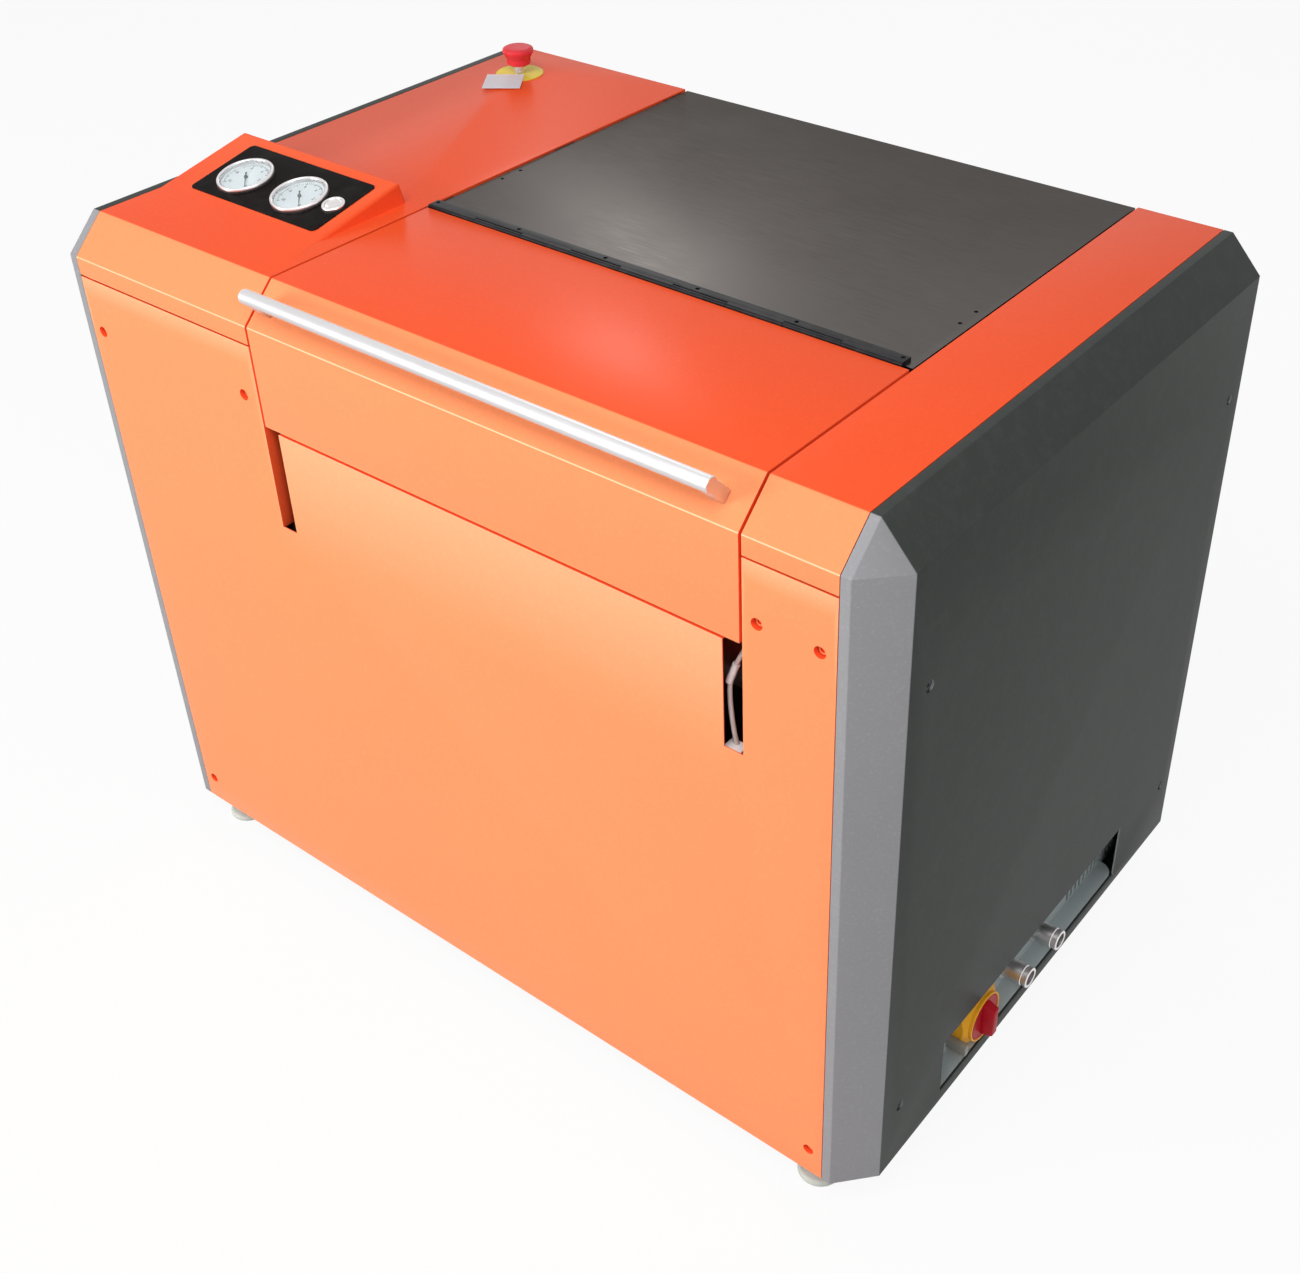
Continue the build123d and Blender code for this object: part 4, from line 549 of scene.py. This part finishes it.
def rounded_profile(points, radius, steps=3):
    """Profile with its corners rounded; the first and last points stay."""
    made = [points[0]]
    for before, here, after in zip(points, points[1:], points[2:]):
        corner = Vector(here)
        back, ahead = Vector(before) - corner, Vector(after) - corner
        reach = min(radius, back.length * 0.45, ahead.length * 0.45)
        start, end = corner + back.normalized() * reach, corner + ahead.normalized() * reach
        for step in range(steps + 1):
            t = step / steps
            spot = start * (1 - t) ** 2 + corner * 2 * t * (1 - t) + end * t ** 2
            made.append((spot.x, spot.y))
    made.append(points[-1])
    return made


def slab(work, low, high, place, width=0.0, segments=2):
    """Adds a box with softened edges to a bmesh."""
    part = bmesh.new()
    bmesh.ops.create_cube(part, size=1.0)
    middle, size = (Vector(low) + Vector(high)) / 2, Vector(high) - Vector(low)
    bmesh.ops.transform(part, matrix=Matrix.Translation(middle) @ Matrix.Diagonal((*size, 1.0)), verts=part.verts)
    if width:
        bmesh.ops.bevel(part, geom=part.edges, offset=width, segments=segments, profile=0.5, affect="EDGES")
    bmesh.ops.transform(part, matrix=place, verts=part.verts)
    join(work, part)


def join(work, part):
    """Adds one bmesh to another and frees it."""
    mesh = bpy.data.meshes.new("part")
    part.to_mesh(mesh)
    part.free()
    work.from_mesh(mesh)
    bpy.data.meshes.remove(mesh)


def seen_rays(tree):
    """One for rays that see the surroundings straight, mirrored or through glass, else nought."""
    rays = add(tree, "ShaderNodeLightPath").outputs
    straight = work_out(tree, "MAXIMUM", rays["Is Camera Ray"], rays["Is Transmission Ray"])
    return work_out(tree, "MAXIMUM", straight, rays["Is Glossy Ray"])


def axis_place(spot, axis, toward=Vector((1, 0, 0))):
    """Placement whose Z lies along the axis and whose X lies near the second direction."""
    z = Vector(axis).normalized()
    x = (Vector(toward) - z * z.dot(Vector(toward))).normalized()
    turn = Matrix((x, z.cross(x), z)).transposed().to_4x4()
    return Matrix.Translation(spot) @ turn


def middle_of(node):
    low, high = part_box(node)
    return (low + high) / 2


CONSOLE_OUT = -Vector(JOINTS["button_press"]["axis"])
GAUGES = {side: Vector(JOINTS[side + "_pointer_turn"]["pos_m"]) for side in ("left", "right")}


def gauge_place(side):
    """Placement on the middle of a gauge's dial, Z out of the console and X to the right."""
    return axis_place(GAUGES[side] - CONSOLE_OUT * DIAL_DROP, CONSOLE_OUT)


class PLATESETTER_OT_casing(bpy.types.Operator):
    """Sheet covers, side panels and table with softened cut edges"""

    bl_idname = "platesetter.casing"
    bl_label = "Casing"

    def execute(self, context):
        edge = sizes().sheet_edge
        for node in ("front_panel", "left_top_cover", "right_top_cover", "hood_cover"):
            soft_copy(node, edge)
        for node in ("left_side_panel", "right_side_panel"):
            soft_copy(node, edge * 1.6, 0.008, 3)
        for node in ("steel_table", "hinge_strip", "service_plate"):
            soft_copy(node, edge * 0.6)
        return {"FINISHED"}


class PLATESETTER_OT_finishes(bpy.types.Operator):
    """Finish of every CAD piece"""

    bl_idname = "platesetter.finishes"
    bl_label = "Finishes"

    def execute(self, context):
        make_materials()
        for node in NODES:
            dress(node)
        return {"FINISHED"}


class PLATESETTER_OT_gauges(bpy.types.Operator):
    """Gauge rings, dials' scales and needles"""

    bl_idname = "platesetter.gauges"
    bl_label = "Gauges"

    def execute(self, context):
        rings = bmesh.new()
        for side in GAUGES:
            self.ring(rings, gauge_place(side))
            self.scale(side)
            self.needle(side)
        piece_of("gauge_rings", rings, "machine", "chrome_plate", ("gauge_cases",))
        return {"FINISHED"}

    def ring(self, work, place):
        """Deep chrome ring with its case below the fascia."""
        outline = [
            (0.0, -0.0295),
            (0.0295, -0.0295),
            (0.0295, -0.0006),
            (0.0313, -0.0004),
            (0.0314, 0.0030),
            (0.0306, 0.0054),
            (0.0284, 0.0055),
            (0.0276, 0.0043),
            (0.0275, -0.0010),
            (0.0, -0.0010),
        ]
        turned(work, rounded_profile(outline, 0.0008), place)

    def scale(self, side):
        """Ticks and numbers of one dial, from nought at the needle's rest."""
        work = bmesh.new()
        place = gauge_place(side)
        level, outer = 0.00002, 0.0245
        for step in range(51):
            turn = math.radians(-45.0 + 5.4 * step)
            long = step % 5 == 0
            length_out = sizes().tick if long else sizes().tick * 0.5
            spoke = Matrix.Rotation(turn, 4, "Z")
            half_width = 0.00028 if long else 0.00014
            slab(
                work,
                (outer - length_out, -half_width, level - 0.0002),
                (outer, half_width, level + 0.00006),
                place @ spoke,
            )
        for index, text in enumerate(("0", "2", "4", "6", "8", "10")):
            turn = math.radians(-45.0 + 54.0 * index)
            spot = Vector((0.0176 * math.cos(turn), 0.0176 * math.sin(turn), level))
            self.number(work, text, place @ Matrix.Translation(spot))
        piece_of(side + "_scale", work, "machine", "needle_black")

    def number(self, work, text, place):
        """One flat number."""
        curve = bpy.data.curves.new("number", "FONT")
        curve.body = text
        curve.size = sizes().digit
        curve.align_x = "CENTER"
        curve.align_y = "CENTER"
        curve.extrude = 0.00005
        holder = bpy.data.objects.new("number", curve)
        mesh = bpy.data.meshes.new_from_object(holder)
        part = bmesh.new()
        part.from_mesh(mesh)
        bmesh.ops.transform(part, matrix=place, verts=part.verts)
        join(work, part)
        bpy.data.meshes.remove(mesh)
        bpy.data.objects.remove(holder)
        bpy.data.curves.remove(curve)

    def needle(self, side):
        """Tapered needle with its hub, on its stop."""
        work = bmesh.new()
        place = gauge_place(side) @ Matrix.Rotation(math.radians(-45.0), 4, "Z")
        part = bmesh.new()
        shape = [(0.021, 0.00020), (0.0, 0.0007), (-0.005, 0.0006), (-0.008, 0.0012)]
        upper = [part.verts.new((x, y, 0.0014)) for x, y in shape]
        lower = [part.verts.new((x, -y, 0.0014)) for x, y in reversed(shape)]
        face = part.faces.new(upper + lower)
        grown = bmesh.ops.extrude_face_region(part, geom=[face])
        raised = [item for item in grown["geom"] if isinstance(item, bmesh.types.BMVert)]
        bmesh.ops.translate(part, vec=(0, 0, 0.0004), verts=raised)
        bmesh.ops.transform(part, matrix=place, verts=part.verts)
        join(work, part)
        hub = [(0.0, 0.0), (0.0019, 0.0), (0.0019, 0.0018), (0.0015, 0.0022), (0.0, 0.0023)]
        turned(work, hub, place, 32)
        piece_of(side + "_pointer_shape", work, side + "_pointer", "needle_black", (side + "_needle",))


class PLATESETTER_OT_button(bpy.types.Operator):
    """Chrome push button of the console"""

    bl_idname = "platesetter.button"
    bl_label = "Push button"

    def execute(self, context):
        place = axis_place(self.foot(), CONSOLE_OUT)
        ring = bmesh.new()
        outline = [
            (0.0, -0.0245),
            (0.0108, -0.0245),
            (0.0108, 0.0),
            (0.0125, 0.0),
            (0.0125, 0.0028),
            (0.0116, 0.0040),
            (0.0098, 0.0040),
            (0.00928, 0.0032),
            (0.00928, -0.0060),
            (0.0, -0.0060),
        ]
        turned(ring, rounded_profile(outline, 0.0004), place)
        piece_of("button_ring", ring, "machine", "chrome_plate", ("button_bezel",))
        cap = bmesh.new()
        outline = [(0.0, -0.0033), (0.0091, -0.0033), (0.0091, 0.0030), (0.0082, 0.0034), (0.0070, 0.0027)]
        outline += [(0.0050, 0.0021), (0.0025, 0.0018), (0.0, 0.0017)]
        turned(cap, outline, place)
        piece_of("button_cap_shape", cap, "button_cap", "chrome_plate", ("push_button",))
        return {"FINISHED"}

    def foot(self):
        """Middle of the button where it leaves the fascia."""
        middle = middle_of("push_button")
        return middle - CONSOLE_OUT * 0.0001


class PLATESETTER_OT_stop(bpy.types.Operator):
    """Emergency stop: red cap, chrome neck, yellow disc and card"""

    bl_idname = "platesetter.stop"
    bl_label = "Emergency stop"

    def execute(self, context):
        low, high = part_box("stop_label")
        foot = Matrix.Translation(((low.x + high.x) / 2, (low.y + high.y) / 2, low.z))
        disc = bmesh.new()
        outline = [(0.0071, 0.0), (0.0290, 0.0), (0.0290, 0.0012)]
        outline += [(0.0286, 0.0015), (0.0074, 0.0015), (0.0071, 0.0012)]
        turned(disc, outline + outline[:1], foot, 96)
        piece_of("stop_disc", disc, "machine", "stop_yellow", ("stop_label",))
        self.cap(foot)
        self.neck(foot)
        self.card()
        return {"FINISHED"}

    def cap(self, foot):
        """Flared red cap with a domed top and grip ribs round its skirt."""
        cap = bmesh.new()
        shaft = [(0.0, -0.0180), (0.0035, -0.0180), (0.0035, 0.0180), (0.0073, 0.0184), (0.0075, 0.0122)]
        skirt = [(0.0128, 0.0120), (0.0140, 0.0132), (0.0141, 0.0190), (0.0150, 0.0212), (0.0190, 0.0275)]
        dome = [(0.0190, 0.0298), (0.0184, 0.0318), (0.0150, 0.0334), (0.0085, 0.0339), (0.0, 0.0340)]
        turned(cap, rounded_profile(shaft + skirt + dome, 0.0009), foot, 96)
        for index in range(sizes().ribs):
            turn = Matrix.Rotation(2 * math.pi * index / sizes().ribs, 4, "Z")
            slab(cap, (0.0134, -0.0005, 0.0140), (0.0145, 0.0005, 0.0186), foot @ turn, 0.0002)
        piece_of("stop_cap_shape", cap, "stop_cap", "stop_red", ("stop_button",), 40.0)

    def neck(self, foot):
        """Chrome collar in two steps over the contact block."""
        neck = bmesh.new()
        outline = [
            (0.0, -0.0550),
            (0.0150, -0.0550),
            (0.0150, -0.0015),
            (0.0070, -0.0015),
            (0.0070, 0.0060),
            (0.0066, 0.0064),
            (0.0066, 0.0069),
            (0.0070, 0.0073),
            (0.0070, 0.0126),
            (0.0066, 0.0130),
            (0.00356, 0.0130),
            (0.00356, -0.0250),
            (0.0, -0.0250),
        ]
        turned(neck, outline, foot)
        piece_of("stop_neck", neck, "machine", "chrome_plate", ("stop_body",))

    def card(self):
        """Card that lies on the disc, its edges softened."""
        work = bmesh.new()
        work.from_mesh(NODES["tag_card"].data)
        soften(work, sizes().card_edge, 0.0, 1)
        piece_of("card_soft", work, "machine", "card_grey", ("tag_card",))


class PLATESETTER_OT_handle(bpy.types.Operator):
    """Satin bar handle on its two posts"""

    bl_idname = "platesetter.handle"
    bl_label = "Handle"

    def execute(self, context):
        low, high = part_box("hood_handle")
        centre_y = low.y + BAR_RADIUS
        centre_z = high.z - BAR_RADIUS
        work = bmesh.new()
        place = axis_place(Vector((low.x, centre_y, centre_z)), (1, 0, 0), (0, 0, 1))
        span = high.x - low.x
        outline = [(0.0, 0.0), (0.0052, 0.0003), (0.0069, 0.0014), (BAR_RADIUS, 0.0034)]
        outline += [(BAR_RADIUS, span - 0.0006), (BAR_RADIUS - 0.0006, span), (0.0, span)]
        turned(work, outline, place, 64)
        tilt = math.atan2(0.037, 0.039)
        down = Vector((0, math.sin(tilt), -math.cos(tilt)))
        for x in (low.x, high.x - POST_WIDTH):
            post = axis_place(Vector((x, centre_y, centre_z)), down, (1, 0, 0))
            slab(work, (0.0002, -0.0066, 0.0), (0.0138, 0.0066, 0.02995), post, 0.0011, 3)
        piece_of("handle_shape", work, "hood", "satin_aluminium", ("hood_handle",))
        return {"FINISHED"}


class PLATESETTER_OT_service(bpy.types.Operator):
    """Main switch, padlock tab and hose ports of the service recess"""

    bl_idname = "platesetter.service"
    bl_label = "Service recess"

    def execute(self, context):
        soft_copy("switch_housing", 0.0014, 0.004, 3)
        soft_copy("padlock_tab", 0.0007, 0.0)
        self.knob()
        self.ports()
        return {"FINISHED"}

    def knob(self):
        """Red disc with a tapered grip bar and axle, in a low yellow rim."""
        low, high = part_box("switch_knob")
        centre = (low + high) / 2
        face = high.x - GRIP_REACH
        place = axis_place(Vector((face, centre.y, centre.z)), (1, 0, 0), (0, 0, 1))
        work = bmesh.new()
        disc = [(0.0, -0.0170), (0.0040, -0.0170), (0.0040, -0.0040), (0.0265, -0.0040)]
        disc += [(0.0265, -0.0010), (0.0255, 0.0), (0.0240, -0.0006), (0.0, -0.0008)]
        turned(work, rounded_profile(disc, 0.0005), place, 96)
        part = bmesh.new()
        bmesh.ops.create_cube(part, size=1.0)
        for vert in part.verts:
            top = vert.co.z > 0
            vert.co.x *= 0.038 if top else 0.044
            vert.co.y *= 0.0105 if top else 0.0138
            vert.co.z = GRIP_REACH if top else -0.0012
        bmesh.ops.bevel(part, geom=part.edges, offset=0.0016, segments=3, profile=0.5, affect="EDGES")
        bmesh.ops.transform(part, matrix=place, verts=part.verts)
        join(work, part)
        piece_of("knob_shape", work, "switch_rotor", "switch_red", ("switch_knob",))
        rim = bmesh.new()
        wall = [(0.0270, -0.0043), (0.0293, -0.0043), (0.0293, -0.0006)]
        wall += [(0.0287, 0.0), (0.0276, 0.0), (0.0270, -0.0006)]
        turned(rim, wall + wall[:1], place, 96)
        piece_of("switch_rim", rim, "machine", "switch_yellow")

    def ports(self):
        """Two plain chrome couplings with a groove near the end."""
        low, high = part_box("hose_ports")
        work = bmesh.new()
        for middle_y in (low.y + PORT_FLANGE, high.y - PORT_FLANGE):
            place = axis_place(Vector((low.x + PORT_TAIL, middle_y, (low.z + high.z) / 2)), (1, 0, 0), (0, 0, 1))
            outline = [
                (0.0, -0.0120),
                (0.0090, -0.0120),
                (0.0090, 0.0),
                (0.0160, 0.0),
                (0.0160, 0.0044),
                (0.0153, 0.0050),
                (0.0120, 0.0052),
                (0.0120, 0.0270),
                (0.0113, 0.0277),
                (0.0113, 0.0293),
                (0.0120, 0.0300),
                (0.0120, 0.0342),
                (0.0113, 0.0350),
                (0.0095, 0.0350),
                (0.0090, 0.0345),
                (0.0090, 0.0050),
                (0.0, 0.0050),
            ]
            turned(work, outline, place)
        piece_of("port_couplings", work, "machine", "chrome_plate", ("hose_ports",))


class PLATESETTER_OT_feet(bpy.types.Operator):
    """Foot pads and threaded stems"""

    bl_idname = "platesetter.feet"
    bl_label = "Feet"

    def execute(self, context):
        low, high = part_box("foot_pads")
        pads, stems = bmesh.new(), bmesh.new()
        for x in (low.x + PAD_RADIUS, high.x - PAD_RADIUS):
            for y in (low.y + PAD_RADIUS, high.y - PAD_RADIUS):
                place = Matrix.Translation((x, y, low.z))
                self.pad(pads, place)
                self.stem(stems, place)
        piece_of("pad_shapes", pads, "machine", "foot_white", ("foot_pads",))
        piece_of("stem_shapes", stems, "machine", "zinc_steel", ("foot_stems",))
        return {"FINISHED"}

    def pad(self, work, place):
        """Moulded pad with a swelling foot and a socket."""
        outline = [
            (0.0, 0.0),
            (0.0228, 0.0),
            (0.0240, 0.0014),
            (0.0240, 0.0050),
            (0.0215, 0.0078),
            (0.0125, 0.0105),
            (0.0110, 0.0140),
            (0.0062, 0.0140),
            (0.0062, 0.0080),
            (0.0, 0.0080),
        ]
        turned(work, rounded_profile(outline, 0.0012), place, 64)

    def stem(self, work, place):
        """Threaded stem with its lock nut and the nut in the rail."""
        outline = [(0.0, 0.0080)]
        height = 0.0085
        while height < 0.0610:
            outline += [(0.0052, height), (0.0060, height + 0.00085)]
            height += 0.0017
        outline += [(0.0050, 0.0620), (0.0, 0.0620)]
        turned(work, outline, place, 32)
        nut = [(0.0060, 0.0), (0.0104, 0.0), (0.0110, 0.0008)]
        nut += [(0.0110, 0.0072), (0.0104, 0.0080), (0.0060, 0.0080)]
        for low in (0.0340, 0.0445):
            turned(work, nut, place @ Matrix.Translation((0, 0, low)), 6)


class PLATESETTER_OT_screws(bpy.types.Operator):
    """Socket heads and spacers of the panel screws"""

    bl_idname = "platesetter.screws"
    bl_label = "Screws"

    def execute(self, context):
        front, rest = bmesh.new(), bmesh.new()
        source = bmesh.new()
        source.from_mesh(NODES["panel_screws"].data)
        bmesh.ops.remove_doubles(source, verts=source.verts, dist=0.000002)
        for spot, axis, radius, depth, seat in self.heads(source):
            work = front if axis.y < -0.5 else rest
            self.head(work, axis_place(spot, axis, (0, 0, 1)), radius, depth, seat)
        source.free()
        piece_of("screw_heads", rest, "machine", "screw_black", ("panel_screws",))
        piece_of("front_screw_heads", front, "machine", "orange_paint")
        self.spacers()
        return {"FINISHED"}

    def spacers(self):
        """Spacers behind the panels: orange behind the front, dark elsewhere."""
        front, rest = bmesh.new(), bmesh.new()
        limit = FRONT_LOW.y + SIDE_DEPTH
        left_x = middle_of("left_side_panel").x + SIDE_DEPTH
        right_x = middle_of("right_side_panel").x - SIDE_DEPTH
        for work, wanted in ((front, True), (rest, False)):
            work.from_mesh(NODES["panel_standoffs"].data)
            wrong = []
            for vert in work.verts:
                ahead = vert.co.y < limit and left_x < vert.co.x < right_x
                if ahead != wanted:
                    wrong.append(vert)
            bmesh.ops.delete(work, geom=wrong, context="VERTS")
        piece_of("front_spacers", front, "machine", "orange_paint", ("panel_standoffs",))
        piece_of("other_spacers", rest, "machine", "frame_paint")

    def heads(self, source):
        """Middle of the outer face, axis, radius, head depth and length of each screw."""
        left = set(source.verts)
        found = []
        while left:
            island, wave = set(), [left.pop()]
            while wave:
                vert = wave.pop()
                island.add(vert)
                for edge in vert.link_edges:
                    other = edge.other_vert(vert)
                    if other in left:
                        left.remove(other)
                        wave.append(other)
            spots = [vert.co for vert in island]
            low = Vector(map(min, zip(*spots)))
            high = Vector(map(max, zip(*spots)))
            found.append(self.measure(low, high))
        return found

    def measure(self, low, high):
        """Screw's middle, outward axis and sizes from its box."""
        middle, size = (low + high) / 2, high - low
        long = max(range(3), key=lambda index: size[index])
        centre = middle_of("machine_frame")
        axis = Vector((0, 0, 0))
        axis[long] = 1.0 if middle[long] > centre[long] else -1.0
        radius = sorted(size)[0] / 2
        return middle + axis * size[long] / 2, axis, radius, min(radius * 0.8, 0.003), size[long]

    def head(self, work, place, radius, depth, seat):
        """Head with a six-sided socket over its shank."""
        socket = radius * 0.5
        outline = [
            (0.0, -seat),
            (radius * 0.45, -seat),
            (radius * 0.48, -depth),
            (radius, -depth),
            (radius, -radius * 0.12),
            (radius * 0.90, 0.0),
            (socket, 0.0),
        ]
        turned(work, outline, place, 36)
        turned(work, [(socket, 0.0), (socket * 0.96, -depth * 0.6), (0.0, -depth * 0.62)], place, 6)


class PLATESETTER_OT_small(bpy.types.Operator):
    """Softened copies of the small blocks, boxes and machine parts"""

    bl_idname = "platesetter.small"
    bl_label = "Small parts"

    def execute(self, context):
        edge = sizes().block_edge
        for node in ("console_fascia", "slot_hose_fittings", "hinge_leaf"):
            soft_copy(node, edge * 0.3, 0.004)
        for node in ("control_boxes", "drive_motor", "screw_motor", "laser_head", "air_valves", "port_elbows"):
            soft_copy(node, edge, 0.006)
        for node in ("carriage", "axis_bed", "linear_rails", "motor_bracket"):
            soft_copy(node, edge * 0.6, 0.006)
        return {"FINISHED"}


class PLATESETTER_OT_stage(bpy.types.Operator):
    """Pale floor, soft studio light and camera"""

    bl_idname = "platesetter.stage"
    bl_label = "Studio"

    def execute(self, context):
        self.camera(context)
        self.floor(context)
        self.world(context)
        for name, spot, aim, size, power in (
            ("key_light", (-2.3, -3.2, 1.55), (0.0, 0.1, 0.35), 1.6, 92.0),
            ("top_light", (0.4, -1.0, 2.6), (0.1, 0.2, 0.7), 1.2, 29.0),
            ("right_light", (3.3, -1.8, 3.0), (0.4, 0.1, 0.6), 1.0, 34.0),
            ("back_light", (-2.4, 3.1, 2.6), (0.1, 0.2, 0.78), 0.4, 7.0),
        ):
            self.lamp(context, name, CASING + Vector(spot), CASING + Vector(aim), size, power)
        context.scene.view_settings.view_transform = "Standard"
        return {"FINISHED"}

    def camera(self, context):
        """Camera at the photograph's viewing angle."""
        data = bpy.data.cameras.new("camera")
        data.sensor_width = SENSOR
        data.lens = SENSOR * PHOTO_FOCAL / PHOTO_WIDTH
        data.shift_x = (PHOTO_MIDDLE[0] - PHOTO_AIM[0]) / PHOTO_WIDTH
        data.shift_y = (PHOTO_AIM[1] - PHOTO_MIDDLE[1]) / PHOTO_WIDTH
        data.clip_end = 100.0
        camera = bpy.data.objects.new("camera", data)
        camera.location = CASING + Vector((1.0620, -0.8842, 1.5045))
        camera.rotation_euler = Euler([math.radians(angle) for angle in (54.7575, 0.4605, 37.1060)])
        context.scene.collection.objects.link(camera)
        context.scene.camera = camera

    def floor(self, context):
        """Wide pale floor under the feet."""
        mesh = bpy.data.meshes.new("floor")
        corners = [(x * FLOOR_REACH, y * FLOOR_REACH, 0) for x, y in ((-1, -1), (1, -1), (1, 1), (-1, 1))]
        mesh.from_pydata(corners, [], [(0, 1, 2, 3)])
        made, tree, shader = new_material("pale floor", Roughness=0.9, Specular_IOR_Level=0.1)
        place = stretched(tree, (1.0, 1.0, 1.0))
        cloud = spread(tree, speckle(tree, place, 2.0, 3.0), 0.3, 0.7, 0.0, 1.0)
        tone = blend_colour(tree, cloud, (0.83, 0.83, 0.83), (0.86, 0.86, 0.86))
        tree.links.new(tone, shader.inputs["Base Color"])
        glow = add(tree, "ShaderNodeEmission", inputs={"Color": (1.0, 1.0, 1.0), "Strength": 1.0})
        share = work_out(tree, "MULTIPLY", seen_rays(tree), 0.92)
        mixed = add(tree, "ShaderNodeMixShader", inputs={0: share, 1: shader.outputs[0], 2: glow.outputs[0]})
        tree.links.new(mixed.outputs[0], tree.nodes["Material Output"].inputs["Surface"])
        mesh.materials.append(made)
        floor = bpy.data.objects.new("floor", mesh)
        floor.location.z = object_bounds()[0].z - 0.0002
        context.scene.collection.objects.link(floor)
        floor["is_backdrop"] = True

    def world(self, context):
        """Even pale surroundings, white to the camera and in reflections."""
        world = bpy.data.worlds.new("studio")
        context.scene.world = world
        world.use_nodes = True
        tree = world.node_tree
        tree.nodes.clear()
        strength = spread(tree, seen_rays(tree), 0.0, 1.0, 0.32, 1.0)
        surround = add(tree, "ShaderNodeBackground", inputs={"Color": (1.0, 1.0, 1.0), "Strength": strength})
        out = tree.nodes.new("ShaderNodeOutputWorld")
        tree.links.new(surround.outputs[0], out.inputs["Surface"])

    def lamp(self, context, name, spot, aim, size, power):
        """One square soft lamp."""
        data = bpy.data.lights.new(name, "AREA")
        data.size = size
        data.energy = power
        lamp = bpy.data.objects.new(name, data)
        lamp.location = spot
        lamp.rotation_euler = (aim - spot).to_track_quat("-Z", "Y").to_euler()
        context.scene.collection.objects.link(lamp)


OPERATORS = (
    PLATESETTER_OT_finishes,
    PLATESETTER_OT_casing,
    PLATESETTER_OT_gauges,
    PLATESETTER_OT_button,
    PLATESETTER_OT_stop,
    PLATESETTER_OT_handle,
    PLATESETTER_OT_service,
    PLATESETTER_OT_feet,
    PLATESETTER_OT_screws,
    PLATESETTER_OT_small,
    PLATESETTER_OT_stage,
)


class PLATESETTER_PT_panel(bpy.types.Panel):
    """Sidebar panel with every step of the build"""

    bl_idname = "PLATESETTER_PT_panel"
    bl_label = "Platesetter"
    bl_space_type = "VIEW_3D"
    bl_region_type = "UI"
    bl_category = "Platesetter"

    def draw(self, context):
        for operator in OPERATORS:
            self.layout.operator(operator.bl_idname)
        for group_name in ("platesetter_finish", "platesetter_sizes"):
            held = getattr(context.scene, group_name)
            box = self.layout.box()
            for name in held.bl_rna.properties.keys():
                if name not in ("rna_type", "name"):
                    box.prop(held, name)


CLASSES = (PLATESETTER_PG_finish, PLATESETTER_PG_sizes, *OPERATORS, PLATESETTER_PT_panel)


def register():
    for item in CLASSES:
        bpy.utils.register_class(item)
    bpy.types.Scene.platesetter_finish = PointerProperty(type=PLATESETTER_PG_finish)
    bpy.types.Scene.platesetter_sizes = PointerProperty(type=PLATESETTER_PG_sizes)


def unregister():
    del bpy.types.Scene.platesetter_sizes
    del bpy.types.Scene.platesetter_finish
    for item in reversed(CLASSES):
        bpy.utils.unregister_class(item)


def main():
    register()
    bpy.ops.platesetter.finishes()
    bpy.ops.platesetter.casing()
    bpy.ops.platesetter.gauges()
    bpy.ops.platesetter.button()
    bpy.ops.platesetter.stop()
    bpy.ops.platesetter.handle()
    bpy.ops.platesetter.service()
    bpy.ops.platesetter.feet()
    bpy.ops.platesetter.screws()
    bpy.ops.platesetter.small()
    bpy.ops.platesetter.stage()


if __name__ == "__main__":
    main()
